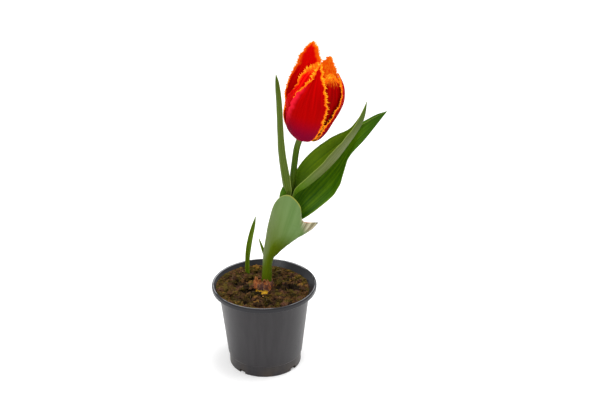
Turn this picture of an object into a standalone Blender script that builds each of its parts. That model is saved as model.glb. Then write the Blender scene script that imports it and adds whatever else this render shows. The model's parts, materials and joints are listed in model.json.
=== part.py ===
"""Fringed tulip in a thin plastic nursery pot: pot, soil, bulb, stem, leaves, bloom.

Lengths are in millimetres up to the mesh, which is in metres. The origin is the
centre of the pot's underside, +Z is up and the side that is looked at faces -Y.
"""

import math
import random

import bmesh
import bpy
import numpy as np
from mathutils import Vector, noise

MM = 0.001
GAP = 0.3  # between neighbouring pieces

# Pot, pressed from thin sheet
RIM_RADIUS = 45.0
POT_HEIGHT = 75.5
POT_WALL = 0.9
WALL_TOP_RADIUS = 39.0  # outside, under the flare below the rim
WALL_TOP_HEIGHT = 69.5
WALL_LOW_RADIUS = 32.3  # outside, on the ledge over the foot
LEDGE_HEIGHT = 11.0
FOOT_RADIUS = 31.2
RIM_LIP = 4.0  # height of the lip that hangs from the rim
FLOOR_RAISE = 2.0  # the floor between foot ring and centre stands this high
CENTRE_PAD_RADIUS = 8.5
DRAIN_HOLES = 6
DRAIN_RADIUS = 3.0
DRAIN_CIRCLE = 17.0
FOOT_SLOTS = 4
FOOT_SLOT_WIDTH = 6.0
FOOT_SLOT_HEIGHT = 3.2
FOOT_SLOT_TURN = 52.0  # degrees from the front towards +X
POT_SIDES = 36

# Soil
SOIL_TOP = 69.4
SOIL_LUMP = 4.2
SOIL_SIDES = 36
SOIL_RINGS = 11
SOIL_EDGE = (68.4, 71.4)  # lowest and highest where it meets the pot

# Bulb, half buried, with a papery skin round its neck
BULB_AT = (1.6, 6.0)
BULB_PROFILE = [  # radius, height
    (5.5, 36.5), (8.0, 37.0), (13.0, 41.0), (16.8, 48.0), (17.4, 54.0),
    (15.4, 60.5), (11.4, 66.0), (8.4, 70.0), (6.9, 74.0), (6.3, 77.6),
]
SOCKET_RADIUS = 5.1
SOCKET_FLOOR = 68.0
SKIN_THICKNESS = 0.7
SKIN_LOW = 60.0
SKIN_TOP = 79.0
SKIN_WINDOW_LOW = 72.6  # over the bare patch at the front
ROOTS = 8
ROOT_RADIUS = 0.9

# Stem: centre line from the bulb's socket to the bloom
STEM = [
    (1.7, 6.0, 68.4), (2.0, 6.0, 80.0), (2.9, 6.2, 93.0), (6.8, 8.0, 110.0),
    (12.9, 9.0, 126.5), (18.8, 9.0, 143.5), (23.3, 8.0, 160.0), (26.3, 7.0, 180.0),
    (29.0, 6.0, 197.0), (31.7, 5.2, 206.7),
]
STEM_RADII = (2.75, 2.6)

LEAF_THICKNESS = 0.8
# Leaves: guide lines of the rib and both margins, base to tip, equally many points.
# A sheath wraps the leaf's foot round the stem: radius, half angle and the way it faces.
LEAVES = {
    "leaf_lower": {
        "rib": [
            (1.7, 1.7, 68.8), (2.8, 1.2, 91.0), (6.2, -1.5, 110.0), (11.5, -6.0, 120.5),
            (17.5, -11.0, 128.5), (24.2, -15.0, 134.0), (30.5, -18.5, 137.5),
            (37.4, -21.5, 141.0), (46.0, -25.0, 145.6),
        ],
        "left": [
            (-1.8, 9.0, 68.8), (-2.0, 9.5, 90.0), (-0.2, 12.0, 108.0), (2.6, 12.0, 127.5),
            (9.6, 7.0, 148.0), (21.6, -1.5, 157.4), (31.6, -10.0, 152.6),
            (34.6, -18.0, 144.6), (46.0, -25.0, 145.6),
        ],
        "right": [
            (6.0, 9.0, 68.8), (7.2, 9.0, 91.0), (12.5, 7.0, 101.0), (18.4, 2.5, 109.0),
            (24.2, -3.5, 117.0), (30.2, -9.5, 124.4), (35.9, -15.0, 130.8),
            (40.7, -19.5, 136.7), (46.0, -25.0, 145.6),
        ],
        "sheath": (3.9, 128.0, -90.0, 0.34),
        "roundness": 0.85,
        "ripple": (0.0, 0.0),
        "grid": (22, 10),
    },
    "leaf_right_back": {
        "rib": [
            (23.0, 12.0, 129.0), (30.5, 17.0, 150.0), (41.5, 21.5, 164.5),
            (53.5, 24.5, 178.0), (64.5, 26.5, 190.0), (74.5, 28.5, 200.5),
            (84.0, 30.5, 209.0), (93.5, 33.0, 214.5), (103.8, 36.0, 219.2),
        ],
        "left": [
            (18.0, 14.5, 129.0), (25.5, 19.0, 160.0), (34.5, 19.5, 177.5),
            (47.4, 20.5, 192.4), (60.7, 22.5, 202.4), (71.5, 25.0, 209.2),
            (82.3, 29.0, 213.4), (92.3, 32.0, 217.1), (103.8, 36.0, 219.2),
        ],
        "right": [
            (22.5, 3.5, 129.0), (33.3, 4.5, 134.6), (45.9, 6.0, 142.9), (56.7, 8.0, 152.2),
            (64.2, 10.0, 164.1), (67.6, 13.0, 176.0), (73.2, 18.0, 187.0),
            (85.8, 26.0, 199.0), (103.8, 36.0, 219.2),
        ],
        "sheath": (3.55, -80.0, 12.0, 0.12),
        "roundness": 1.0,
        "ripple": (1.4, 2.5),
        "grid": (22, 8),
    },
    "leaf_right_front": {
        "rib": [
            (21.5, 5.0, 147.0), (30.5, 5.0, 159.0), (40.0, 7.0, 166.4), (50.7, 8.0, 175.9),
            (61.4, 9.0, 187.2), (69.5, 10.0, 198.4), (77.5, 10.0, 210.8),
            (83.0, 10.0, 223.0), (85.1, 10.0, 237.7),
        ],
        "left": [
            (21.0, 12.0, 147.0), (24.6, 14.0, 167.0), (31.6, 15.0, 181.0),
            (42.4, 15.0, 193.2), (56.4, 14.0, 204.3), (70.2, 13.0, 211.8),
            (77.4, 12.0, 220.5), (82.0, 11.0, 229.6), (85.1, 10.0, 237.7),
        ],
        "right": [
            (25.0, 3.0, 147.0), (32.0, -1.0, 157.0), (40.5, -3.0, 170.5),
            (48.0, -3.0, 185.5), (57.8, -1.0, 198.1), (65.9, 2.0, 206.5),
            (73.2, 5.0, 215.0), (79.5, 7.0, 225.9), (85.1, 10.0, 237.7),
        ],
        "sheath": (3.9, -60.0, 8.0, 0.20),
        "roundness": 0.8,
        "ripple": (0.0, 0.0),
        "grid": (22, 8),
    },
    "leaf_left": {
        "rib": [
            (19.5, 4.5, 153.5), (18.9, 1.0, 164.0), (17.3, -5.0, 178.0),
            (15.6, -10.0, 195.6), (14.5, -14.0, 214.0), (14.0, -17.0, 232.5),
            (13.4, -17.5, 251.4), (12.8, -17.0, 262.8), (12.4, -15.0, 269.4),
        ],
        "left": [
            (17.6, 7.0, 153.5), (16.8, 4.0, 164.0), (15.6, -1.5, 176.6),
            (13.9, -7.0, 194.4), (13.0, -11.0, 212.9), (12.9, -14.0, 231.4),
            (12.2, -15.5, 250.7), (11.9, -15.5, 262.3), (12.4, -15.0, 269.4),
        ],
        "right": [
            (23.0, 3.5, 153.5), (23.6, 1.0, 164.0), (22.4, -2.5, 177.0),
            (20.0, -7.5, 194.6), (18.2, -11.5, 213.0), (17.5, -14.5, 231.7),
            (16.4, -15.5, 250.7), (14.7, -15.5, 262.3), (12.4, -15.0, 269.4),
        ],
        "sheath": (3.7, 46.0, 240.0, 0.16),
        "roundness": 0.8,
        "ripple": (0.0, 0.0),
        "grid": (18, 4),
    },
}

# Side shoots: rib line from below the soil to the tip, and half width along it
SHOOTS = {
    "shoot_left": {
        "rib": [
            (-15.7, 28.0, 57.0), (-15.7, 28.0, 70.0), (-15.5, 28.0, 83.0),
            (-14.4, 28.0, 94.0), (-12.4, 28.0, 105.5), (-9.6, 28.0, 117.0),
            (-7.4, 28.0, 126.0),
        ],
        "half_width": [1.6, 1.7, 1.9, 2.2, 2.1, 1.5, 0.0],
    },
    "shoot_behind": {
        "rib": [
            (5.2, 24.6, 58.0), (4.6, 23.0, 70.0), (2.8, 21.0, 82.0), (0.2, 19.6, 92.5),
            (-2.6, 19.0, 102.0), (-5.1, 19.0, 110.0),
        ],
        "half_width": [1.5, 1.6, 1.7, 1.5, 1.0, 0.0],
    },
}
SHOOT_HOLE_RADIUS = 2.9
SHOOT_HOLE_FLOOR = 56.0

# Bloom: six petals in two whorls of three round a leaning axis
BLOOM_AT = (32.0, 5.0, 207.5)
BLOOM_LEAN = 14.0  # degrees towards +X
RECEPTACLE_RADIUS = 4.6
RECEPTACLE_HEIGHT = 1.6
PETAL_THICKNESS = 0.65
OUTER_PROFILE = [  # distance from the axis and height over the receptacle's foot
    (5.5, 0.9), (11.2, 2.0), (15.6, 6.2), (18.9, 13.5), (21.4, 23.5),
    (23.6, 34.5), (23.6, 45.5), (19.8, 57.0), (12.4, 67.0),
]
INNER_PROFILE = [
    (4.2, 2.9), (9.2, 4.4), (13.4, 8.6), (16.7, 15.5), (19.2, 25.0),
    (21.3, 35.5), (21.2, 46.5), (17.2, 57.5), (10.4, 67.0),
]
POINTED = [2.4, 7.6, 13.2, 16.4, 18.0, 18.0, 13.6, 6.4, 0.7]  # half width, foot to tip
BLUNT = [2.4, 7.6, 13.2, 16.6, 18.6, 19.0, 16.8, 11.4, 1.2]
PETALS = {  # whorl, outline, turn from the front towards +X, length, width, tip spread
    "petal_outer_front": (OUTER_PROFILE, POINTED, -14.0, 1.00, 0.98, 0.0),
    "petal_outer_right": (OUTER_PROFILE, BLUNT, 97.0, 0.90, 1.02, 3.0),
    "petal_outer_back": (OUTER_PROFILE, BLUNT, -132.0, 1.18, 0.98, 2.0),
    "petal_inner_right": (INNER_PROFILE, BLUNT, 43.0, 0.93, 0.89, 1.6),
    "petal_inner_left": (INNER_PROFILE, BLUNT, -74.0, 0.98, 0.92, 0.0),
    "petal_inner_back": (INNER_PROFILE, POINTED, 163.0, 1.06, 1.00, -1.0),
}
PETAL_GRID = (32, 5)
FRINGE_FROM = 0.26  # share of the petal's length where the fringe starts
FRINGE_LENGTH = (1.2, 2.4)
OVARY_RADIUS = 3.0
OVARY_HEIGHT = 24.0
STAMENS = 6

FINISHES = {  # colour, roughness
    "pot": ((0.030, 0.030, 0.033), 0.42),
    "soil": ((0.075, 0.045, 0.022), 0.95),
    "bulb": ((0.62, 0.36, 0.06), 0.50),
    "skin": ((0.22, 0.07, 0.025), 0.60),
    "leaf": ((0.07, 0.20, 0.02), 0.45),
    "leaf_bluish": ((0.19, 0.32, 0.14), 0.55),
    "petal": ((0.62, 0.01, 0.008), 0.40),
    "flower_heart": ((0.45, 0.48, 0.10), 0.50),
}


def clear_scene():
    for obj in list(bpy.data.objects):
        bpy.data.objects.remove(obj)


def material(name):
    found = bpy.data.materials.get(name)
    if found:
        return found
    colour, roughness = FINISHES[name]
    made = bpy.data.materials.new(name)
    made.use_nodes = True
    shader = made.node_tree.nodes["Principled BSDF"]
    shader.inputs["Base Color"].default_value = (*colour, 1.0)
    shader.inputs["Roughness"].default_value = roughness
    shader.inputs["Metallic"].default_value = 0.0
    return made


def add_mesh(name, points, faces, finish):
    """An object from points in millimetres."""
    mesh = bpy.data.meshes.new(name)
    mesh.from_pydata([Vector(p) * MM for p in points], [], faces)
    mesh.update()
    obj = bpy.data.objects.new(name, mesh)
    bpy.context.scene.collection.objects.link(obj)
    mesh.materials.append(material(finish))
    mesh.shade_smooth()
    mesh.set_sharp_from_angle(angle=math.radians(40.0))
    return obj


def curve_at(points, share):
    """Smooth curve through evenly spread points or numbers, at a share of its length."""
    points = np.asarray(points, float)
    last = len(points) - 1
    place = min(max(share, 0.0), 1.0) * last
    i = min(int(place), last - 1)
    f = place - i
    p1, p2 = points[i], points[i + 1]
    p0 = points[i - 1] if i > 0 else 2 * p1 - p2
    p3 = points[i + 2] if i + 2 <= last else 2 * p2 - p1
    bend = 2 * p0 - 5 * p1 + 4 * p2 - p3
    turn = 3 * p1 - p0 - 3 * p2 + p3
    return 0.5 * (2 * p1 + (p2 - p0) * f + bend * f**2 + turn * f**3)


def smooth_step(x):
    x = min(max(x, 0.0), 1.0)
    return x * x * (3 - 2 * x)


def spun(name, profile, sides, finish, centre=(0.0, 0.0)):
    """Body turned round a vertical axis; the profile runs from axis to axis, foot first."""
    shape = bmesh.new()
    line = [shape.verts.new(Vector((r, 0.0, z)) * MM) for r, z in profile]
    edges = [shape.edges.new(pair) for pair in zip(line, line[1:])]
    bmesh.ops.spin(
        shape, geom=line + edges, cent=(0, 0, 0), axis=(0, 0, 1),
        angle=2 * math.pi, steps=sides, use_merge=True,
    )
    bmesh.ops.remove_doubles(shape, verts=shape.verts, dist=0.00002)
    bmesh.ops.recalc_face_normals(shape, faces=shape.faces)
    bmesh.ops.translate(shape, verts=shape.verts, vec=Vector((*centre, 0.0)) * MM)
    mesh = bpy.data.meshes.new(name)
    shape.to_mesh(mesh)
    shape.free()
    obj = bpy.data.objects.new(name, mesh)
    bpy.context.scene.collection.objects.link(obj)
    mesh.materials.append(material(finish))
    mesh.shade_smooth()
    mesh.set_sharp_from_angle(angle=math.radians(40.0))
    return obj


def rod(name, path, radii, finish, roundness=1):
    """Round rod along a path; radii holds one radius for each point."""
    curve = bpy.data.curves.new(name, "CURVE")
    curve.dimensions = "3D"
    curve.bevel_depth = MM
    curve.bevel_resolution = roundness
    curve.use_fill_caps = True
    spline = curve.splines.new("POLY")
    spline.points.add(len(path) - 1)
    for point, place, radius in zip(spline.points, path, radii):
        point.co = (*(Vector(place) * MM), 1.0)
        point.radius = radius
    bent = bpy.data.objects.new(name + "_line", curve)
    bpy.context.scene.collection.objects.link(bent)
    bpy.context.view_layer.update()
    mesh = bpy.data.meshes.new_from_object(bent.evaluated_get(bpy.context.evaluated_depsgraph_get()))
    bpy.data.objects.remove(bent)
    shape = bmesh.new()
    shape.from_mesh(mesh)
    bmesh.ops.remove_doubles(shape, verts=shape.verts, dist=0.00001)
    bmesh.ops.recalc_face_normals(shape, faces=shape.faces)
    shape.to_mesh(mesh)
    shape.free()
    mesh.name = name
    obj = bpy.data.objects.new(name, mesh)
    bpy.context.scene.collection.objects.link(obj)
    mesh.materials.clear()
    mesh.materials.append(material(finish))
    mesh.shade_smooth()
    return obj


def boolean(target, cutters, operation):
    """Cuts or joins a list of helper objects into the target, then removes them."""
    helpers = bpy.data.collections.new(target.name + "_helpers")
    bpy.context.scene.collection.children.link(helpers)
    for helper in cutters:
        bpy.context.scene.collection.objects.unlink(helper)
        helpers.objects.link(helper)
    modifier = target.modifiers.new(operation.lower(), "BOOLEAN")
    modifier.operand_type = "COLLECTION"
    modifier.collection = helpers
    modifier.operation = operation
    modifier.solver = "EXACT"
    bpy.context.view_layer.update()
    graph = bpy.context.evaluated_depsgraph_get()
    mesh = bpy.data.meshes.new_from_object(target.evaluated_get(graph))
    target.modifiers.clear()
    target.data = mesh
    for helper in list(helpers.objects):
        bpy.data.objects.remove(helper)
    bpy.data.collections.remove(helpers)
    return target


def blade(name, surface, grid, thickness, finish, pointed=True, fringe=None):
    """Thin solid with an even thickness round a surface(u, v), u from foot to tip, v from -1 to 1.

    Both faces are split into triangles alike. A pointed blade closes in one point, and
    fringe(u, side) gives the length of the tooth that stands on a margin there, or 0.
    """
    rows, columns = grid
    last_u = 1.0 - 0.5 / rows if pointed else 1.0
    step = 1e-3
    points = []
    outward = {}
    for i in range(rows + 1):
        u = last_u * i / rows
        for j in range(columns + 1):
            v = 2.0 * j / columns - 1.0
            here = surface(u, v)
            along = surface(min(u + step, last_u), v) - surface(max(u - step, 0.0), v)
            across = surface(u, min(v + step, 1.0)) - surface(u, max(v - step, -1.0))
            normal = np.cross(along, across)
            normal = normal / np.linalg.norm(normal) * thickness / 2
            points += [here + normal, here - normal]
            if j in (0, columns):
                sign = 1.0 if j else -1.0
                lean = 0.5 * along / np.linalg.norm(along)
                outward[i, j] = sign * across / np.linalg.norm(across) + lean

    def at(i, j, side):
        return 2 * (i * (columns + 1) + j) + side

    faces = []
    for i in range(rows):
        for j in range(columns):
            for side in (0, 1):
                a, b, c, d = at(i, j, side), at(i + 1, j, side), at(i + 1, j + 1, side), at(i, j + 1, side)
                pair = [(a, b, c), (a, c, d)]
                faces += [f if side == 0 else f[::-1] for f in pair]
    rim = []  # pairs of neighbouring places round the blade, in one sense
    rim += [((0, j), (0, j + 1)) for j in range(columns)]
    rim += [((i, columns), (i + 1, columns)) for i in range(rows)]
    if not pointed:
        rim += [((rows, j + 1), (rows, j)) for j in reversed(range(columns))]
    rim += [((i + 1, 0), (i, 0)) for i in reversed(range(rows))]
    for p, q in rim:
        top_p, low_p, top_q, low_q = at(*p, 0), at(*p, 1), at(*q, 0), at(*q, 1)
        tooth = 0.0
        if fringe and p[1] == q[1]:
            tooth = fringe(last_u * (p[0] + q[0]) / 2 / rows, 1 if p[1] else -1)
        if tooth > 0:
            middle = (points[top_p] + points[low_p] + points[top_q] + points[low_q]) / 4
            points.append(middle + tooth * (outward[p] + outward[q]) / 2)
            tip = len(points) - 1
            faces += [(top_p, top_q, tip), (top_q, low_q, tip), (low_q, low_p, tip), (low_p, top_p, tip)]
        else:
            faces += [(top_p, top_q, low_q), (top_p, low_q, low_p)]
    if pointed:
        points.append(surface(1.0, 0.0))
        tip = len(points) - 1
        for j in range(columns):
            faces += [(at(rows, j, 0), tip, at(rows, j + 1, 0)), (at(rows, j, 1), at(rows, j + 1, 1), tip)]
        faces += [(at(rows, 0, 1), tip, at(rows, 0, 0)), (at(rows, columns, 0), tip, at(rows, columns, 1))]
    obj = add_mesh(name, points, faces, finish)
    shape = bmesh.new()
    shape.from_mesh(obj.data)
    bmesh.ops.recalc_face_normals(shape, faces=shape.faces)
    shape.to_mesh(obj.data)
    shape.free()
    return obj


def pot_outside():
    """Profile of the pot's outer face, from the middle of its underside to the rim's top."""
    foot_inner = FOOT_RADIUS - 4.0
    return [
        (0.0, 0.0), (CENTRE_PAD_RADIUS, 0.0), (CENTRE_PAD_RADIUS + 1.6, FLOOR_RAISE),
        (foot_inner - 1.6, FLOOR_RAISE), (foot_inner, 0.0), (FOOT_RADIUS - 0.6, 0.0),
        (FOOT_RADIUS, 0.6), (FOOT_RADIUS + 0.2, LEDGE_HEIGHT - 1.0),
        (WALL_LOW_RADIUS, LEDGE_HEIGHT), (WALL_TOP_RADIUS, WALL_TOP_HEIGHT),
        (RIM_RADIUS - 1.5, POT_HEIGHT - 1.5), (RIM_RADIUS - 0.9, POT_HEIGHT - RIM_LIP),
        (RIM_RADIUS - 0.1, POT_HEIGHT - RIM_LIP), (RIM_RADIUS, POT_HEIGHT - 0.9),
        (RIM_RADIUS - 0.3, POT_HEIGHT - 0.3), (RIM_RADIUS - 0.9, POT_HEIGHT),
    ]


def pot_inside(clearance):
    """Profile of the pot's inner face, from the flange to the middle of its floor.

    A clearance takes it inwards, which is the soil's own face.
    """
    thick = POT_WALL + clearance
    foot_inner = FOOT_RADIUS - 4.0
    return [
        (WALL_TOP_RADIUS - thick, WALL_TOP_HEIGHT + 0.3), (WALL_LOW_RADIUS - thick, LEDGE_HEIGHT + 0.3),
        (FOOT_RADIUS + 0.2 - thick, LEDGE_HEIGHT - 0.8), (FOOT_RADIUS - thick, thick + 0.5),
        (FOOT_RADIUS - 0.6 - thick, thick), (foot_inner + thick, thick),
        (foot_inner - 1.6 + 0.4 * thick, FLOOR_RAISE + thick),
        (CENTRE_PAD_RADIUS + 1.6 - 0.4 * thick, FLOOR_RAISE + thick),
        (CENTRE_PAD_RADIUS - thick, thick), (0.0, thick),
    ]


def make_pot():
    pot = spun("pot", pot_outside() + [(RIM_RADIUS - 1.7, POT_HEIGHT - 0.5)] + pot_inside(0.0), POT_SIDES, "pot")
    cutters = []
    for i in range(DRAIN_HOLES):
        turn = 2 * math.pi * (i + 0.5) / DRAIN_HOLES
        at = (DRAIN_CIRCLE * math.sin(turn), -DRAIN_CIRCLE * math.cos(turn))
        hole = [(0.0, -3.0), (DRAIN_RADIUS, -3.0), (DRAIN_RADIUS, 6.0), (0.0, 6.0)]
        cutters.append(spun(f"drain_cutter_{i}", hole, 12, "pot", at))
    for i in range(FOOT_SLOTS):
        cutters.append(slot_cutter(f"slot_cutter_{i}", math.radians(FOOT_SLOT_TURN + 360.0 * i / FOOT_SLOTS)))
    return boolean(pot, cutters, "DIFFERENCE")


def slot_cutter(name, turn):
    """Box across the pot's lower edge, so that water runs out at the foot."""
    outwards = np.array((math.sin(turn), -math.cos(turn), 0.0))
    sideways = np.array((math.cos(turn), math.sin(turn), 0.0)) * FOOT_SLOT_WIDTH / 2
    points = [
        outwards * r + sideways * s + np.array((0.0, 0.0, z))
        for r in (FOOT_RADIUS - 2.6, FOOT_RADIUS + 4.0)
        for s in (-1, 1)
        for z in (-2.0, FOOT_SLOT_HEIGHT)
    ]
    faces = [(0, 1, 3, 2), (4, 6, 7, 5), (0, 4, 5, 1), (2, 3, 7, 6), (0, 2, 6, 4), (1, 5, 7, 3)]
    return add_mesh(name, points, faces, "pot")


def soil_height(x, y):
    """Height of the lumpy soil: clods of two sizes, heaped round the bulb, low at the back right."""
    clods = noise.noise(Vector((x / 11.0, y / 11.0, 3.7))) + 0.6 * noise.noise(Vector((x / 5.0, y / 5.0, 9.1)))
    slope = -0.03 * x - 0.025 * y
    near_bulb = 1.8 * math.exp(-((x - BULB_AT[0]) ** 2 + (y - BULB_AT[1]) ** 2) / 260.0)
    return SOIL_TOP + slope + near_bulb + SOIL_LUMP * clods


def shoot_hole(name, rib):
    """Plain round hole along the buried stretch of a side shoot."""
    low, high = Vector(rib[0]), Vector(rib[1])
    path = [low + (low - high) * 0.12, high + (high - low) * 1.2]
    return rod(name + "_hole", path, [SHOOT_HOLE_RADIUS] * 2, "soil", roundness=2)


def bulb_hole_profile():
    """The bulb's hole in the soil, which also holds its papery skin."""
    room = SKIN_THICKNESS + 5 * GAP
    low = [(r + GAP + 0.2, z) for r, z in BULB_PROFILE[:4]]
    high = [(r + room, z) for r, z in BULB_PROFILE[4:-1]]
    foot = BULB_PROFILE[0][1] - GAP
    return [(0.0, foot), (BULB_PROFILE[0][0] + 0.3, foot)] + low[1:] + high + [(9.0, 90.0), (0.0, 90.0)]


def make_soil():
    side = pot_inside(GAP)[::-1]
    edge = side[-1][0]
    side[-1] = (edge - 0.3, WALL_TOP_HEIGHT - 2.6)
    rings = [(edge * (1 - i / SOIL_RINGS), SOIL_TOP) for i in range(SOIL_RINGS)]
    soil = spun("soil", side + rings + [(0.0, SOIL_TOP)], SOIL_SIDES, "soil")
    for vertex in soil.data.vertices:
        x, y, z = vertex.co / MM
        if z < SOIL_TOP - 1.0:
            continue
        z = soil_height(x, y)
        if math.hypot(x, y) > edge - 0.5:
            z = min(max(z, SOIL_EDGE[0]), SOIL_EDGE[1])
            outwards = 1.0 + (0.5 * max(0.0, z - WALL_TOP_HEIGHT - 1.0) - 0.2) / edge
            vertex.co.x *= outwards
            vertex.co.y *= outwards
        vertex.co.z = z * MM
    cutters = [spun("bulb_hole", bulb_hole_profile(), 24, "soil", BULB_AT)]
    cutters += [shoot_hole(name, shoot["rib"]) for name, shoot in SHOOTS.items()]
    for i in range(ROOTS):
        path = root_path(i)
        path.append(tuple(Vector(path[-1]) + 0.3 * (Vector(path[-1]) - Vector(path[-2]))))
        cutters.append(rod(f"root_hole_{i}", path, [ROOT_RADIUS + 0.7] * len(path), "soil"))
    return boolean(soil, cutters, "DIFFERENCE")


def root_path(index):
    """Root that leaves the bulb's foot and spreads down through the soil."""
    turn = 2 * math.pi * index / ROOTS
    x, y = BULB_AT
    reach = 18.0
    path = []
    for share in (0.0, 0.2, 0.5, 0.8, 1.0):
        out = 2.8 + (reach - 2.8) * share
        swing = turn + 0.5 * share
        path.append((x + out * math.cos(swing), y * (1 - share) + out * math.sin(swing), 40.0 - 33.0 * share**0.8))
    return path


def make_bulb():
    socket = [(SOCKET_RADIUS, BULB_PROFILE[-1][1]), (SOCKET_RADIUS, SOCKET_FLOOR), (0.0, SOCKET_FLOOR)]
    bulb = spun("bulb", [(0.0, BULB_PROFILE[0][1])] + BULB_PROFILE + socket, 24, "bulb", BULB_AT)
    roots = [rod(f"root_{i}", root_path(i), [0.9, 0.9, 0.85, 0.75, 0.6], "bulb") for i in range(ROOTS)]
    return boolean(bulb, roots, "UNION")


def bulb_radius(height):
    heights = [z for _, z in BULB_PROFILE]
    radii = [r for r, _ in BULB_PROFILE]
    return float(np.interp(height, heights, radii))


def skin_point(u, v):
    """Papery skin on the bulb's shoulder; v runs round it with a slit at the back."""
    turn = math.radians(168.0) * v
    front = math.exp(-((turn + 0.05) / 0.75) ** 4)
    tear = 1.4 * math.sin(5.0 * turn + 0.6) + 0.9 * math.sin(11.0 * turn)
    low = SKIN_LOW + (SKIN_WINDOW_LOW - SKIN_LOW) * front
    top = SKIN_TOP + tear
    z = low + (top - low) * u
    flare = 0.45 * max(0.0, z - 77.0)
    out = bulb_radius(z) + 2 * GAP + 0.1 + SKIN_THICKNESS / 2 + flare
    return np.array((BULB_AT[0] + out * math.sin(turn), BULB_AT[1] - out * math.cos(turn), z))


def stem_centre(height):
    """Place on the stem's centre line at a height."""
    heights = [p[2] for p in STEM]
    return np.array([np.interp(height, heights, [p[i] for p in STEM]) for i in range(3)])


def leaf_point(leaf, u, v):
    """Leaf surface: an arched section through both margins and the rib, sheathing at the foot."""
    rib, left, right = (curve_at(leaf[line], u) for line in ("rib", "left", "right"))
    arch = left * v * (v - 1) / 2 + rib * (1 - v * v) + right * v * (v + 1) / 2
    margin = right if v > 0 else left
    fold = rib + (margin - rib) * abs(v)
    point = fold + (arch - fold) * leaf["roundness"]
    height, waves = leaf["ripple"]
    swell = math.sin(2 * math.pi * waves * u) * math.sin(math.pi * u) * max(v, 0.0) ** 2
    point = point + np.array((0.0, -height * swell, 0.0))
    radius, half_angle, facing, until = leaf["sheath"]
    wrap = 1.0 - smooth_step(u / until)
    if wrap > 0:
        turn = math.radians(facing + half_angle * v)
        centre = stem_centre(rib[2])
        wrapped = centre + radius * np.array((math.cos(turn), math.sin(turn), 0.0))
        point = point + (wrapped - point) * wrap
    return point


def shoot_point(shoot, u, v):
    """Narrow side shoot with a shallow channel towards the front."""
    x, y, z = curve_at(shoot["rib"], u)
    half = max(float(curve_at(shoot["half_width"], u)), 0.02)
    return np.array((x + half * v, y - 0.5 * half * v * v, z))


def bloom_frame():
    """Origin and unit directions of the bloom: sideways, back and along its axis."""
    lean = math.radians(BLOOM_LEAN)
    side = np.array((math.cos(lean), 0.0, -math.sin(lean)))
    axis = np.array((math.sin(lean), 0.0, math.cos(lean)))
    return np.array(BLOOM_AT), side, np.array((0.0, 1.0, 0.0)), axis


def petal_point(petal, u, v):
    """Petal surface: an arc round the bloom's axis whose width follows the petal's outline."""
    profile, outline, turn, length, width, spread = petal
    reach, height = curve_at(profile, u)
    reach += spread * smooth_step((u - 0.45) / 0.55)
    height *= length
    half = float(curve_at(outline, u)) * width
    if u > 0.97:
        half *= max(0.0, (1.0 - u) / 0.03)
    if u < 0.12:
        reach = max(reach, profile[0][0])
    angle = math.radians(turn) + v * half / max(reach, 3.6)
    origin, side, back, axis = bloom_frame()
    return origin + reach * (math.sin(angle) * side - math.cos(angle) * back) + height * axis


def petal_fringe(seed):
    """Length of each tooth on a petal's margin."""
    draw = random.Random(seed)

    def tooth(u, _side):
        if u < FRINGE_FROM:
            return 0.0
        grow = min(1.0, (u - FRINGE_FROM) / 0.15)
        return grow * draw.uniform(*FRINGE_LENGTH)

    return tooth


def make_stem():
    """Stem with the receptacle that the petals stand on."""
    count = 26
    path = [tuple(curve_at(STEM, i / count)) for i in range(count + 1)]
    thick, thin = STEM_RADII
    radii = [thick + (thin - thick) * i / count for i in range(count + 1)]
    origin, _, _, axis = bloom_frame()
    for height, radius in ((0.0, 3.4), (0.7, RECEPTACLE_RADIUS), (RECEPTACLE_HEIGHT, RECEPTACLE_RADIUS - 0.3)):
        path.append(tuple(origin + height * axis))
        radii.append(radius)
    return rod("stem", path, radii, "leaf", roundness=2)


def make_flower_heart():
    """Ovary with a three-lobed stigma, and six stamens joined to its foot."""
    origin, side, back, axis = bloom_frame()
    foot = RECEPTACLE_HEIGHT + GAP

    def place(out, turn, height):
        return tuple(origin + out * (math.sin(turn) * side - math.cos(turn) * back) + (foot + height) * axis)

    heights = [0.0, 2.0, OVARY_HEIGHT * 0.5, OVARY_HEIGHT * 0.85, OVARY_HEIGHT]
    radii = [2.2, OVARY_RADIUS, OVARY_RADIUS, 2.3, 1.8]
    ovary = rod("flower_heart", [place(0.0, 0.0, h) for h in heights], radii, "flower_heart", roundness=2)
    parts = []
    for i in range(3):
        turn = 2 * math.pi * (i + 0.2) / 3
        lobe = [place(0.0, turn, OVARY_HEIGHT - 1.2), place(2.4, turn, OVARY_HEIGHT + 0.6), place(4.0, turn, OVARY_HEIGHT - 0.4)]
        parts.append(rod(f"stigma_{i}", lobe, [1.3, 1.6, 0.9], "flower_heart"))
    for i in range(STAMENS):
        turn = 2 * math.pi * (i + 0.5) / STAMENS
        line = [(1.4, 1.2), (4.6, 6.0), (6.2, 13.0), (6.5, 15.0), (7.0, 22.0), (7.1, 27.0)]
        path = [place(out, turn, height) for out, height in line]
        parts.append(rod(f"stamen_{i}", path, [1.0, 0.9, 0.8, 1.6, 1.7, 0.7], "flower_heart"))
    return boolean(ovary, parts, "UNION")


def main():
    clear_scene()
    make_pot()
    make_soil()
    make_bulb()
    blade("bulb_skin", skin_point, (5, 30), SKIN_THICKNESS, "skin", pointed=False)
    make_stem()
    for name, leaf in LEAVES.items():
        finish = "leaf_bluish" if name == "leaf_lower" else "leaf"
        blade(name, lambda u, v: leaf_point(leaf, u, v), leaf["grid"], LEAF_THICKNESS, finish)
    for name, shoot in SHOOTS.items():
        blade(name, lambda u, v: shoot_point(shoot, u, v), (12, 2), LEAF_THICKNESS, "leaf")
    for seed, (name, petal) in enumerate(PETALS.items()):
        blade(name, lambda u, v: petal_point(petal, u, v), PETAL_GRID, PETAL_THICKNESS, "petal",
              fringe=petal_fringe(seed))
    make_flower_heart()


main()
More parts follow.
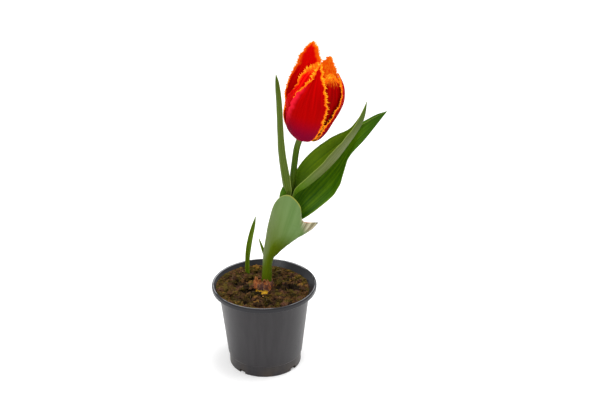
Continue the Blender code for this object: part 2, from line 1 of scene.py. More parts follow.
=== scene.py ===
"""Looks of a potted fringed tulip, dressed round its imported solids.

Lengths are in millimetres up to each mesh, which is in metres, as are the heights in
the finishes. The guide lines and profiles follow the solids, with finer meshes, and a
few margins of leaves and petals lie a little further in.
"""

import json
import math
import random

import bmesh
import bpy
import numpy as np
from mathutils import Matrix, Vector, noise

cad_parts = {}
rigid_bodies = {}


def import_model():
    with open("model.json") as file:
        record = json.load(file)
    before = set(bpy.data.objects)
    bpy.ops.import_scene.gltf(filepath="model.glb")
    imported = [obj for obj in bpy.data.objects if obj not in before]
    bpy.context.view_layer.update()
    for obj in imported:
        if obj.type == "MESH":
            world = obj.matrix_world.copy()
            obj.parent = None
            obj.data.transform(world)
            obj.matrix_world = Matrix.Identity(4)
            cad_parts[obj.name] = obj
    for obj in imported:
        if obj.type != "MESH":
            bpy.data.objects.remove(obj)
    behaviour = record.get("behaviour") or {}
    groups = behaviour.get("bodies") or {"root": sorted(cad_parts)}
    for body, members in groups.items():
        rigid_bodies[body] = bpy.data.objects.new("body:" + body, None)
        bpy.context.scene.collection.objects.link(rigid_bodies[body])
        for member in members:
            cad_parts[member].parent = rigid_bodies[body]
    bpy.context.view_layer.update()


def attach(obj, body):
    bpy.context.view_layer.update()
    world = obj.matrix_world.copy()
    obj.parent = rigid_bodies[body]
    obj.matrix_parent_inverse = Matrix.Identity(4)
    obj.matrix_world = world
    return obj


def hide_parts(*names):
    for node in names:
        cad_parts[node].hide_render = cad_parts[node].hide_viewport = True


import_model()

MM = 0.001
SHARP_ANGLE = math.radians(50.0)

# Camera and lights, in metres: the camera looks along +Y and down, at a point beside the pot's axis
LOOK_AT = (0.0358, 0.0, 0.1504)
CAMERA_DISTANCE = 1.0
CAMERA_PITCH = 25.31
LENS_MM = 70.76
FLOOR_SIZE = 6.0
PANELS = [  # name, place, diameter, power in watts
    ("key", (-0.55, -0.75, 1.05), 0.7, 4.6),
    ("top", (0.25, 0.05, 1.25), 0.8, 10.5),
]
PANEL_TARGET = (0.03, 0.0, 0.14)
WORLD_LIGHT = 0.85
FLOOR_GLOW = 0.22

# Pot
RIM_RADIUS = 45.0
POT_HEIGHT = 75.5
POT_WALL = 0.9
WALL_TOP_RADIUS = 39.0
WALL_TOP_HEIGHT = 69.5
WALL_LOW_RADIUS = 32.3
LEDGE_HEIGHT = 11.0
FOOT_RADIUS = 31.2
FOOT_INNER = FOOT_RADIUS - 4.0
RIM_LIP = 4.0
FLOOR_RAISE = 2.0
FLOOR_SLOPE = 1.6
CENTRE_PAD_RADIUS = 8.5
DRAIN_HOLES = 6
DRAIN_RADIUS = 3.0
DRAIN_CIRCLE = 17.0
FOOT_SLOTS = 4
FOOT_SLOT_WIDTH = 6.0
FOOT_SLOT_HEIGHT = 3.2
FOOT_SLOT_TURN = 52.0
LIP_FLAT = 1.7
POT_SIDES = 144
INNER_RADIUS = WALL_TOP_RADIUS - POT_WALL
FLARE_HEIGHT = WALL_TOP_HEIGHT + 0.3

# Soil
SOIL_TOP = 69.4
SOIL_LUMP = 4.2
SOIL_EDGE_HEIGHT = 71.9
SOIL_EDGE_TILT = 1.5
SOIL_LOW_SIDE = 25.0
SOIL_HOLLOWS = [  # x, y, radius, depth
    (-3.0, -6.0, 5.4, 4.0), (-7.5, -4.0, 4.4, 4.4), (-15.5, -2.0, 5.0, 4.4), (15.0, 4.0, 4.4, 3.0),
    (24.0, 4.5, 4.6, 3.6), (-24.5, 10.5, 3.6, 3.0), (-16.5, -26.0, 4.0, 3.0),
    (8.0, -22.0, 3.5, 1.8), (28.0, -12.0, 3.8, 1.8), (10.0, 27.0, 4.0, 2.0),
]
SOIL_CLEARANCE = 0.25  # to the pot's wall and floor
SOIL_EDGE_GAP = 0.15  # to the flared lip
SOIL_SIDES = 260
SOIL_RINGS = 96
SOIL_BITS = {  # seed, count, least and greatest radius, subdivisions, flatness, roughness
    "soil_clods": (11, 430, (1.1, 3.1), 3, 0.75, 0.5),
    "soil_crumbs": (14, 2100, (0.4, 1.3), 2, 0.75, 0.34),
    "soil_grains": (12, 4600, (0.2, 0.55), 1, 0.75, 0.34),
    "bark_chips": (13, 46, (0.3, 0.75), 2, 0.6, 0.25),
}
NECK_CLEARANCE = (7.4, 10.2)  # behind and in front of the bulb
FIBRES = 120
FIBRE_SEED = 31
FIBRE_LENGTHS = (3.0, 9.0)
FIBRE_WIDTHS = (0.10, 0.28)

# Bulb
BULB_AT = (1.6, 6.0)
BULB_PROFILE = [
    (5.5, 36.5), (8.0, 37.0), (13.0, 41.0), (16.8, 48.0), (17.4, 54.0),
    (15.4, 60.5), (11.4, 66.0), (8.4, 70.0), (6.9, 74.0), (6.3, 77.6),
]
SOCKET_RADIUS = 5.1
SOCKET_FLOOR = 68.0
NECK_AT = (-0.9, 5.6)
NECK_LEAN = 1.4
NECK_LEAN_FROM = 63.0
NECK_LEAN_OVER = 6.0
NECK_WORN_TO = 73.6
SKIN_LOW = 60.0
SKIN_TOP = 79.0
SKIN_WINDOW_LOW = 71.3
SKIN_FLARE_FROM = 76.5
SKIN_PINCH = 2.1
SKIN_PINCH_FROM = 73.0
SKIN_HALF_TURN = 176.0
SKIN_GRID = (24, 170)
SKIN_THICKNESS = 0.28
ROOTS = 8
ROOT_REACH = (2.8, 18.0)
ROOT_HEIGHT = 40.0
ROOT_DROP = 33.0
ROOT_RADII = (0.9, 0.55)
ROOT_POINTS = 9
FLAKE_GRID = (22, 18)
FLAKE_THICKNESS = 0.22
FLAKES = [  # facing, foot height, height, half width, lean, curl, tone
    (-52.0, 70.2, 9.4, 2.7, 0.05, 0.6, 1.0), (42.0, 68.8, 8.6, 2.0, -0.06, 0.1, 0.85),
    (-14.0, 70.4, 6.4, 3.4, -0.08, -0.3, 0.0), (14.0, 74.4, 4.6, 1.8, -0.02, 0.5, 1.0),
    (118.0, 69.6, 5.4, 3.2, 0.0, 0.5, 0.3), (172.0, 69.8, 5.0, 3.4, 0.0, -0.4, 0.5),
    (-122.0, 69.4, 6.4, 3.0, 0.0, 0.5, 0.4), (-92.0, 71.0, 7.0, 2.2, 0.06, 0.7, 0.8),
    (-30.0, 74.6, 4.4, 1.6, 0.02, 0.7, 0.9),
]

# Stem
STEM = [  # centre line from the bulb to the bloom
    (1.7, 6.0, 68.4), (2.0, 6.0, 80.0), (2.9, 6.2, 93.0), (6.8, 8.0, 110.0),
    (12.9, 9.0, 126.5), (18.8, 9.0, 143.5), (23.3, 8.0, 160.0), (25.8, 7.0, 180.0),
    (28.0, 6.0, 197.0), (30.7, 5.2, 206.7),
]
STEM_RADII = (2.75, 2.6)

# Leaves
# Rib and margins run from foot to tip. A sheath has a radius, half angle, facing and reach.
# Roundness goes from 0, folded at the rib, to 1, arched. A ripple has a depth and a number of waves.
LEAVES = {
    "leaf_lower": {
        "rib": [
            (1.7, 1.7, 68.8), (2.8, 1.2, 91.0), (6.2, -1.5, 110.0), (11.5, -6.0, 120.5),
            (17.5, -11.0, 128.5), (24.2, -15.0, 134.0), (30.5, -18.5, 137.5),
            (37.4, -21.5, 141.0), (46.0, -25.0, 145.6),
        ],
        "left": [
            (-1.8, 9.0, 68.8), (-1.9, 9.5, 90.0), (0.7, 12.0, 108.0), (4.2, 12.0, 128.0),
            (10.8, 7.0, 150.0), (21.6, -1.5, 159.3), (31.0, -10.0, 153.2),
            (32.8, -18.0, 143.8), (46.0, -25.0, 145.6),
        ],
        "right": [
            (6.0, 9.0, 68.8), (7.2, 9.0, 91.0), (12.5, 7.0, 101.0), (18.4, 2.5, 109.0),
            (24.2, -3.5, 117.0), (30.2, -9.5, 124.4), (35.9, -15.0, 130.8),
            (40.7, -19.5, 136.7), (46.0, -25.0, 145.6),
        ],
        "sheath": (4.1, 128.0, -90.0, 0.23),
        "roundness": 0.85,
        "ripple": (0.0, 0.0),
    },
    "leaf_right_back": {
        "rib": [
            (23.0, 12.0, 129.0), (30.5, 17.0, 150.0), (41.5, 21.5, 164.5),
            (53.5, 24.5, 178.0), (64.5, 26.5, 190.0), (74.5, 28.5, 200.5),
            (84.0, 30.5, 209.0), (93.5, 33.0, 214.5), (103.8, 36.0, 219.2),
        ],
        "left": [
            (18.0, 14.5, 129.0), (25.5, 19.0, 160.0), (34.5, 19.5, 177.5),
            (47.4, 20.5, 192.4), (60.7, 22.5, 202.4), (71.5, 25.0, 207.0),
            (82.3, 29.0, 209.6), (92.3, 32.0, 214.6), (103.8, 36.0, 219.2),
        ],
        "right": [
            (22.5, 3.5, 129.0), (33.3, 4.5, 134.6), (45.9, 6.0, 142.9), (56.7, 8.0, 152.2),
            (64.2, 10.0, 164.1), (67.6, 13.0, 176.0), (73.2, 18.0, 187.0),
            (85.8, 26.0, 199.0), (103.8, 36.0, 219.2),
        ],
        "sheath": (3.55, -80.0, 12.0, 0.12),
        "roundness": 1.0,
        "ripple": (1.4, 2.5),
    },
    "leaf_right_front": {
        "rib": [
            (21.5, 5.0, 147.0), (30.5, 5.0, 159.0), (40.0, 7.0, 166.4), (50.7, 8.0, 175.9),
            (61.4, 9.0, 187.2), (69.5, 10.0, 198.4), (77.5, 10.0, 210.8),
            (83.0, 10.0, 223.0), (85.1, 10.0, 237.7),
        ],
        "left": [
            (21.0, 12.0, 147.0), (24.6, 14.0, 167.0), (31.6, 15.0, 181.0),
            (42.4, 15.0, 193.2), (56.4, 14.0, 204.3), (70.2, 13.0, 211.8),
            (77.4, 12.0, 220.5), (82.0, 11.0, 229.6), (85.1, 10.0, 237.7),
        ],
        "right": [
            (23.5, 3.0, 147.0), (26.0, 1.0, 162.4), (35.6, -1.8, 174.0),
            (46.8, -2.8, 185.8), (57.8, -1.0, 198.1), (65.9, 2.0, 206.5),
            (73.2, 5.0, 215.0), (79.5, 7.0, 225.9), (85.1, 10.0, 237.7),
        ],
        "sheath": (3.9, -60.0, 8.0, 0.20),
        "roundness": 0.8,
        "ripple": (0.0, 0.0),
    },
    "leaf_left": {
        "rib": [
            (19.5, 4.5, 153.5), (18.9, 1.0, 164.0), (17.3, -5.0, 178.0),
            (15.6, -10.0, 195.6), (14.5, -14.0, 214.0), (14.0, -17.0, 232.5),
            (13.4, -17.5, 251.4), (12.8, -17.0, 262.8), (12.4, -15.0, 269.4),
        ],
        "left": [
            (17.6, 7.0, 153.5), (16.8, 4.0, 164.0), (15.6, -1.5, 176.6),
            (13.9, -7.0, 194.4), (13.0, -11.0, 212.9), (12.9, -14.0, 231.4),
            (12.2, -15.5, 250.7), (11.9, -15.5, 262.3), (12.4, -15.0, 269.4),
        ],
        "right": [
            (23.0, 3.5, 153.5), (23.6, 1.0, 164.0), (22.4, -2.5, 177.0),
            (20.0, -7.5, 194.6), (18.2, -11.5, 213.0), (17.5, -14.5, 231.7),
            (16.4, -15.5, 250.7), (14.7, -15.5, 262.3), (12.4, -15.0, 269.4),
        ],
        "sheath": (3.7, 46.0, 240.0, 0.16),
        "roundness": 0.8,
        "ripple": (0.0, 0.0),
    },
}
CLASP = {  # margins of the small sheath above the lowest leaf
    "left": [(14.2, 9.0, 134.0), (13.4, 8.0, 147.0), (14.0, 6.6, 157.0), (17.2, 5.6, 165.5)],
    "right": [(17.6, 6.0, 134.0), (20.0, 6.0, 147.0), (21.4, 5.6, 157.0), (17.8, 5.6, 165.8)],
}
LEAF_GRID = (150, 44)
LEAF_END = 0.996  # share of the length at which the sheet ends, just short of its tip
LEAF_THICKNESS = (0.75, 0.35)  # along the middle, at the margins
LOWER_LEAF_FAN = ((-6.0, 60.0), -4.0, 46.0)  # the veins' centre, least and greatest angle
CLASP_GRID = (40, 24)
CLASP_THICKNESS = (0.7, 0.35)
SHOOT_GRID = (70, 10)
SHOOT_END = 0.99
SHOOT_THICKNESS = (0.75, 0.4)
SHOOTS = {
    "shoot_left": {
        "rib": [
            (-15.7, 28.0, 57.0), (-15.7, 28.0, 70.0), (-15.5, 28.0, 83.0),
            (-14.4, 28.0, 94.0), (-12.4, 28.0, 105.5), (-9.6, 28.0, 117.0),
            (-7.4, 28.0, 126.0),
        ],
        "half_width": [1.6, 1.7, 1.9, 2.2, 2.1, 1.5, 0.0],
    },
    "shoot_behind": {
        "rib": [
            (5.2, 24.6, 58.0), (4.6, 23.0, 70.0), (2.8, 21.0, 82.0), (0.2, 19.6, 92.5),
            (-2.6, 19.0, 102.0), (-5.1, 19.0, 110.0),
        ],
        "half_width": [1.5, 1.6, 1.7, 1.5, 1.0, 0.0],
    },
}

# Bloom
BLOOM_AT = (32.0, 5.0, 207.5)
BLOOM_LEAN = 14.0
RECEPTACLE_RADIUS = 4.6
RECEPTACLE_HEIGHT = 1.6
OUTER_PROFILE = [
    (5.5, 0.9), (11.2, 2.0), (15.6, 6.2), (18.9, 13.5), (21.4, 23.5),
    (23.6, 34.5), (23.6, 45.5), (19.8, 57.0), (12.4, 67.0),
]
INNER_PROFILE = [
    (4.2, 2.9), (9.2, 4.4), (13.4, 8.6), (16.7, 15.5), (19.2, 25.0),
    (21.3, 35.5), (21.2, 46.5), (17.2, 57.5), (10.4, 67.0),
]
POINTED = [2.4, 7.6, 13.2, 16.4, 18.0, 18.0, 13.6, 6.4, 0.7]
BLUNT = [2.4, 7.6, 13.2, 16.6, 18.6, 19.0, 16.8, 11.4, 1.2]
TALL = [2.4, 7.6, 13.2, 16.6, 18.4, 16.6, 11.6, 8.2, 1.0]
FRONT_LEFT = [2.4, 7.6, 13.2, 15.6, 15.0, 12.8, 8.2, 1.6, 0.3]
TUCKED_LEFT = [2.4, 7.6, 13.2, 16.0, 12.8, 8.4, 7.2, 6.4, 0.8]
TUCKED_RIGHT = [2.4, 7.6, 13.2, 16.6, 18.0, 16.6, 13.0, 9.0, 1.2]
PETALS = {  # whorl, left and right outline, turn from the front towards +X, length, width
    "petal_outer_front": (OUTER_PROFILE, FRONT_LEFT, POINTED, -14.0, 1.03, 0.98),
    "petal_outer_right": (OUTER_PROFILE, BLUNT, BLUNT, 97.0, 0.90, 1.02),
    "petal_outer_back": (OUTER_PROFILE, TALL, TALL, -132.0, 1.18, 0.98),
    "petal_inner_right": (INNER_PROFILE, BLUNT, BLUNT, 43.0, 0.93, 0.93),
    "petal_inner_left": (INNER_PROFILE, TUCKED_LEFT, TUCKED_RIGHT, -74.0, 1.02, 0.92),
    "petal_inner_back": (INNER_PROFILE, POINTED, POINTED, 163.0, 1.06, 1.00),
}
PETAL_BENDS = {  # degrees of twist and millimetres of spread, from foot to tip
    "petal_outer_front": ([0, 0, 0, 0, 0, 0, 1, 3, 7], [0, 0, 0]),
    "petal_outer_right": ([0, 0, 0], [0, 0, 0, 0, 0, 0.7, 1.7, 2.6, 3.0]),
    "petal_outer_back": ([0, 0, 0, 0, -4, -13, -23, -20, -4], [0, 0, 0, 0, -1.0, -1.2, -0.7, 0.7, 2.0]),
    "petal_inner_right": ([0, 0, 0], [0, 0, 0, 0, 0, 0.4, 0.9, 1.4, 1.6]),
    "petal_inner_left": ([0, 0, 0, 4, 14, 27, 40, 46, 50], [0, 0, 0, 0, 0, -0.3, -0.8, -1.2, -1.5]),
    "petal_inner_back": ([0, 0, 0, 0, 0, -4, -9, -15, -20], [0, 0, 0, 0, 0, -0.2, -0.6, -0.9, -1.0]),
}
FRINGE_STARTS = {  # share of the length at which the fringe starts, on the left and the right margin
    "petal_outer_front": (0.66, 0.10),
    "petal_outer_right": (0.24, 0.30),
    "petal_outer_back": (0.30, 0.25),
    "petal_inner_right": (0.84, 0.80),
    "petal_inner_left": (0.70, 0.72),
    "petal_inner_back": (0.20, 0.74),
}
BASE_SLANT = 0.3
# painted light: strength of the petals' glow
LIGHT_THROUGH = 0.22  # light that the thin petals let through from the far side
PETAL_GRID = (180, 44)
PETAL_END = 0.995
PETAL_THICKNESS = (0.6, 0.3)
PETAL_NOTCHES = ((31, 0.45), (67, 0.42), (113, 0.38))  # waves along the margin, depth
FRINGE_SPACING = 0.52
FRINGE_LENGTH = (0.8, 3.3)
FRINGE_SEED = 40
TOOTH_LEANS = (-0.35, 0.85)  # radians, from straight outwards towards the tip
TOOTH_HALF_WIDTHS = (0.22, 0.46)
TOOTH_HALF_THICKNESS = 0.15
OVARY_RADIUS = 3.0
OVARY_HEIGHT = 24.0
STIGMA_LOBE = ((0.0, -1.2), (2.4, 0.6), (4.0, -0.4))  # distance from the axis, height over the ovary
STAMENS = 6
STAMEN_LINE = [  # distance from the bloom's axis, height over the receptacle
    (1.4, 1.2), (4.6, 6.0), (6.2, 13.0), (6.5, 15.0), (7.0, 22.0), (7.1, 27.0),
]
ANTHER_FROM = 0.45
ANTHER_RADIUS = 1.65
FILAMENT_RADIUS = 0.8


class Wire:
    """An output of a shader node; arithmetic on it adds Math nodes."""

    def __init__(self, finish, socket):
        self.finish = finish
        self.socket = socket

    def math(self, operation, *values):
        return self.finish.node("ShaderNodeMath", {"operation": operation}, dict(enumerate(values)))

    def __add__(self, other):
        return self.math("ADD", self, other)

    __radd__ = __add__

    def __sub__(self, other):
        return self.math("SUBTRACT", self, other)

    def __rsub__(self, other):
        return self.math("SUBTRACT", other, self)

    def __mul__(self, other):
        return self.math("MULTIPLY", self, other)

    __rmul__ = __mul__

    def __abs__(self):
        return self.math("ABSOLUTE", self)

    def ramp(self, start, end, low=0.0, high=1.0):
        """Smooth change from low to high as the value goes from start to end."""
        settings = {"interpolation_type": "SMOOTHSTEP"}
        inputs = {"Value": self, 1: start, 2: end, 3: low, 4: high}
        return self.finish.node("ShaderNodeMapRange", settings, inputs)


class Finish:
    """A material under work: node() adds any shader node, paint() sets the shader's own sockets."""

    def __init__(self, name, **sockets):
        self.material = bpy.data.materials.new(name)
        self.material.use_nodes = True
        self.tree = self.material.node_tree
        self.shader = self.tree.nodes["Principled BSDF"]
        self.paint(**sockets)

    def node(self, kind, settings=None, inputs=None, out=0):
        made = self.tree.nodes.new(kind)
        for name, value in (settings or {}).items():
            setattr(made, name, value)
        for name, value in (inputs or {}).items():
            self.join(made.inputs[name], value)
        return Wire(self, made.outputs[out])

    def join(self, socket, value):
        if isinstance(value, Wire):
            self.tree.links.new(value.socket, socket)
        elif isinstance(value, tuple) and len(value) == 3 and len(socket.default_value) == 4:
            socket.default_value = (*value, 1.0)
        else:
            socket.default_value = value

    def paint(self, **sockets):
        for name, value in sockets.items():
            self.join(self.shader.inputs[name.replace("_", " ")], value)

    def place(self, stretch=(1.0, 1.0, 1.0)):
        """Position on the object, in metres, stretched along each axis."""
        spot = self.node("ShaderNodeTexCoord", out="Object")
        return self.node("ShaderNodeVectorMath", {"operation": "MULTIPLY"}, {0: spot, 1: stretch})

    def height(self):
        return self.node("ShaderNodeSeparateXYZ", None, {0: self.place()}, 2)

    def fact(self, name):
        """A number that the mesh holds at each of its points."""
        return self.node("ShaderNodeAttribute", {"attribute_name": name}, out="Fac")

    def noise(self, grain, detail=4.0, rough=0.55, stretch=(1.0, 1.0, 1.0)):
        """Cloudy noise from 0 to 1 whose lumps are about grain millimetres across."""
        scale = 1 / (grain * MM)
        inputs = {"Vector": self.place(stretch), "Scale": scale, "Detail": detail, "Roughness": rough}
        return self.node("ShaderNodeTexNoise", None, inputs)

    def lines(self, across, count, along, wander=0.3):
        """Fine lines side by side: noise drawn out along one direction."""
        spot = self.node("ShaderNodeCombineXYZ", None, {0: across * count, 1: along * wander})
        return self.node("ShaderNodeTexNoise", None, {"Vector": spot, "Scale": 1.0, "Detail": 2.0})

    def mix(self, share, first, second):
        """Colour between the first, at share 0, and the second, at share 1."""
        settings = {"data_type": "RGBA", "clamp_factor": True}
        return self.node("ShaderNodeMix", settings, {0: share, 6: first, 7: second}, 2)

    def relief(self, height, depth):
        """Bump of a height field, whose full range is depth millimetres."""
        inputs = {"Height": height, "Distance": depth * MM, "Strength": 1.0}
        self.paint(Normal=self.node("ShaderNodeBump", None, inputs))


class Pile:
    """Points in millimetres, faces and named numbers of one mesh, gathered bit by bit."""

    def __init__(self, *facts):
        self.points = []
        self.faces = []
        self.facts = {name: [] for name in facts}

    def add(self, points, faces, **facts):
        start = len(self.points)
        self.points.extend(points)
        self.faces.extend(tuple(start + corner for corner in face) for face in faces)
        for name, kept in self.facts.items():
            value = facts[name]
            kept.extend(np.broadcast_to(np.asarray(value, float), len(points)).tolist())

    def mesh(self, name):
        """Mesh of what was gathered, in metres, with all faces looking outwards."""
        mesh = bpy.data.meshes.new(name)
        mesh.from_pydata([Vector(p) * MM for p in self.points], [], self.faces)
        for fact, values in self.facts.items():
            mesh.attributes.new(fact, "FLOAT", "POINT").data.foreach_set("value", values)
        shape = bmesh.new()
        shape.from_mesh(mesh)
        bmesh.ops.recalc_face_normals(shape, faces=shape.faces)
        shape.to_mesh(mesh)
        shape.free()
        return mesh

    def build(self, name, finish, slot, *replaced):
        """Puts the mesh in the scene as a piece of the object, in place of the solids it stands for."""
        mesh = self.mesh(name)
        mesh.materials.append(finish.material)
        mesh.shade_smooth()
        mesh.set_sharp_from_angle(angle=SHARP_ANGLE)
        piece = bpy.data.objects.new(name, mesh)
        bpy.context.scene.collection.objects.link(piece)
        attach(piece, "root")
        if replaced:
            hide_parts(*replaced)
        return piece


def curve_at(points, shares):
    """Smooth curve through evenly spread points, at shares of its length."""
    points = np.asarray(points, float)
    last = len(points) - 1
    place = np.clip(np.atleast_1d(np.asarray(shares, float)), 0.0, 1.0) * last
    start = np.minimum(place.astype(int), last - 1)
    f = (place - start).reshape(-1, *[1] * (points.ndim - 1))
    ends = [[2 * points[0] - points[1]], points, [2 * points[-1] - points[-2]]]
    near = np.concatenate(ends)
    p0, p1, p2, p3 = (near[start + k] for k in range(4))
    bend = 2 * p0 - 5 * p1 + 4 * p2 - p3
    turn = 3 * p1 - p0 - 3 * p2 + p3
    return 0.5 * (2 * p1 + (p2 - p0) * f + bend * f**2 + turn * f**3)


def grid_shares(grid, last=1.0):
    """Shares of the length, from 0 to last, and of the width, from -1 to 1, over a grid."""
    rows, columns = grid
    return np.linspace(0.0, last, rows + 1), np.linspace(-1.0, 1.0, columns + 1)


def smooth_step(x):
    x = np.clip(x, 0.0, 1.0)
    return x * x * (3 - 2 * x)


def unit(vectors):
    return vectors / np.maximum(np.linalg.norm(vectors, axis=-1, keepdims=True), 1e-9)


def sheet_normals(sheet):
    return unit(np.cross(np.gradient(sheet, axis=0), np.gradient(sheet, axis=1)))


def add_sheet(pile, sheet, thickness, **facts):
    """Closes a grid of points into a thin body; its fact "face" is 1 on the first side, else 0."""
    rows, columns = sheet.shape[0] - 1, sheet.shape[1] - 1
    half = sheet_normals(sheet) * np.asarray(thickness)[..., None] / 2
    points = np.concatenate([(sheet + half).reshape(-1, 3), (sheet - half).reshape(-1, 3)])
    count = (rows + 1) * (columns + 1)

    def at(i, j):
        return i * (columns + 1) + j

    faces = []
    for i in range(rows):
        for j in range(columns):
            quad = (at(i, j), at(i + 1, j), at(i + 1, j + 1), at(i, j + 1))
            faces += [quad, tuple(corner + count for corner in reversed(quad))]
    rim = [at(0, j) for j in range(columns)] + [at(i, columns) for i in range(rows)]
    rim += [at(rows, j) for j in range(columns, 0, -1)] + [at(i, 0) for i in range(rows, 0, -1)]
    for p, q in zip(rim, rim[1:] + rim[:1]):
        faces.append((p, q, q + count, p + count))
    doubled = {"face": np.repeat([1.0, 0.0], count)}
    for name, values in facts.items():
        doubled[name] = np.tile(np.broadcast_to(values, sheet.shape[:2]).reshape(-1), 2)
    pile.add(points, faces, **doubled)


def add_tube(pile, path, radii, sides, **facts):
    """Round tube with closed ends along a path; facts may hold one number for each point of the path."""
    path = np.asarray(path, float)
    along = unit(np.gradient(path, axis=0))
    guide = np.array((0.0, 1.0, 0.0)) if abs(along[0][1]) < 0.9 else np.array((1.0, 0.0, 0.0))
    side = unit(np.cross(along, guide))
    up = np.cross(side, along)
    turns = np.arange(sides) * 2 * math.pi / sides
    ring = np.cos(turns)[None, :, None] * side[:, None] + np.sin(turns)[None, :, None] * up[:, None]
    points = (path[:, None] + np.asarray(radii, float)[:, None, None] * ring).reshape(-1, 3)
    last = len(path) - 1
    faces = []
    for i in range(last):
        for j in range(sides):
            k = (j + 1) % sides
            faces.append((i * sides + j, i * sides + k, (i + 1) * sides + k, (i + 1) * sides + j))
    faces += [tuple(reversed(range(sides))), tuple(last * sides + j for j in range(sides))]
    spread = {name: v if np.isscalar(v) else np.repeat(v, sides) for name, v in facts.items()}
    pile.add(points, faces, **spread)


def spun(profile, sides, centre=(0.0, 0.0)):
    """Points and faces of a body turned round a vertical axis, with its ends on the axis."""
    shape = bmesh.new()
    line = [shape.verts.new((r, 0.0, z)) for r, z in profile]
    edges = [shape.edges.new(pair) for pair in zip(line, line[1:])]
    bmesh.ops.spin(
        shape, geom=line + edges, cent=(0, 0, 0), axis=(0, 0, 1),
        angle=2 * math.pi, steps=sides, use_merge=True,
    )
    bmesh.ops.remove_doubles(shape, verts=shape.verts, dist=0.0005)
    points, faces = taken_out(shape)
    return points + np.array((*centre, 0.0)), faces


def ball(subdivisions):
    """Points and faces of a unit ball."""
    shape = bmesh.new()
    bmesh.ops.create_icosphere(shape, subdivisions=subdivisions, radius=1.0)
    return taken_out(shape)


def taken_out(shape):
    """Points and faces of a working shape, which ends here."""
    shape.verts.index_update()
    points = np.array([tuple(v.co) for v in shape.verts])
    faces = [tuple(v.index for v in face.verts) for face in shape.faces]
    shape.free()
    return points, faces


def rounded(profile, reach=0.35, steps=3):
    """Profile whose corners are rounded off."""
    made = [profile[0]]
    for before, corner, after in zip(profile, profile[1:], profile[2:]):
        before, corner, after = (np.array(p, float) for p in (before, corner, after))
        length = min(np.linalg.norm(before - corner), np.linalg.norm(after - corner)) * 0.45
        cut = min(reach, length)
        start = corner + (before - corner) / max(np.linalg.norm(before - corner), 1e-6) * cut
        end = corner + (after - corner) / max(np.linalg.norm(after - corner), 1e-6) * cut
        for i in range(steps + 1):
            t = i / steps
            made.append(tuple((1 - t) ** 2 * start + 2 * t * (1 - t) * corner + t**2 * end))
    return made + [profile[-1]]


# Pot

def pot_outside():
    return [
        (0.0, 0.0), (CENTRE_PAD_RADIUS, 0.0), (CENTRE_PAD_RADIUS + FLOOR_SLOPE, FLOOR_RAISE),
        (FOOT_INNER - FLOOR_SLOPE, FLOOR_RAISE), (FOOT_INNER, 0.0), (FOOT_RADIUS - 0.6, 0.0),
        (FOOT_RADIUS, 0.6), (FOOT_RADIUS + 0.2, LEDGE_HEIGHT - 1.0),
        (WALL_LOW_RADIUS, LEDGE_HEIGHT), (WALL_TOP_RADIUS, WALL_TOP_HEIGHT),
        (RIM_RADIUS - 1.5, POT_HEIGHT - 1.5), (RIM_RADIUS - 0.9, POT_HEIGHT - RIM_LIP),
        (RIM_RADIUS - 0.1, POT_HEIGHT - RIM_LIP), (RIM_RADIUS, POT_HEIGHT - 0.9),
        (RIM_RADIUS - 0.3, POT_HEIGHT - 0.2), (RIM_RADIUS - 0.6, POT_HEIGHT),
    ]


def pot_inside(clearance):
    thick = POT_WALL + clearance
    return [
        (WALL_TOP_RADIUS - thick, FLARE_HEIGHT), (WALL_LOW_RADIUS - thick, LEDGE_HEIGHT + 0.3),
        (FOOT_RADIUS + 0.2 - thick, LEDGE_HEIGHT - 0.8), (FOOT_RADIUS - thick, thick + 0.5),
        (FOOT_RADIUS - 0.6 - thick, thick), (FOOT_INNER + thick, thick),
        (FOOT_INNER - FLOOR_SLOPE + 0.4 * thick, FLOOR_RAISE + thick),
        (CENTRE_PAD_RADIUS + FLOOR_SLOPE - 0.4 * thick, FLOOR_RAISE + thick),
        (CENTRE_PAD_RADIUS - thick, thick), (0.0, thick),
    ]


def pot_plastic():
    """Dark grey pressed sheet: satin, with faint streaks up the wall, dust, browner low down, painted
    shade at the rim and a painted highlight on the lip.
    """
    finish = Finish("pot_plastic", Specular_IOR_Level=0.31)
    height = finish.height()
    from_axis = finish.place((1.0, 1.0, 0.0))
    radius = finish.node("ShaderNodeVectorMath", {"operation": "LENGTH"}, {0: from_axis}, "Value")
    streaks = finish.noise(5.0, 3.0, 0.6, (1.0, 1.0, 0.06))
    clouds = finish.noise(16.0, 4.0)
    dust = (finish.noise(1.1, 5.0, 0.7) + clouds * 0.5).ramp(0.82, 1.05)
    # browner towards the foot, in cloudy patches
    low_brown = height.ramp(0.016, 0.0, 0.0, 0.55) * clouds.ramp(0.35, 0.65)
    colour = finish.mix(streaks.ramp(0.35, 0.7), (0.0158, 0.0136, 0.0158), (0.0228, 0.0204, 0.0228))
    colour = finish.mix(dust * 0.3, colour, (0.060, 0.056, 0.050))
    colour = finish.mix(low_brown, colour, (0.050, 0.034, 0.020))
    # painted shade: the rim and the flare inside it darkened almost to black
    rim = height.ramp(0.0700, 0.0712)
    colour = finish.mix(rim * 0.85, colour, (0.006, 0.006, 0.009))
    # painted highlight: a broken light line on the flat top of the lip
    lip_highlight = height.ramp(0.0750, 0.0753) * radius.ramp(0.0442, 0.0438) * clouds.ramp(0.33, 0.52)
    colour = finish.mix(lip_highlight * 0.8, colour, (0.32, 0.32, 0.34))
    finish.paint(Base_Color=colour, Roughness=0.32 + streaks * 0.14 + dust * 0.2 - rim * 0.08)
    finish.relief(clouds * 0.8 + finish.noise(0.5, 2.0) * 0.2, 0.12)
    return finish


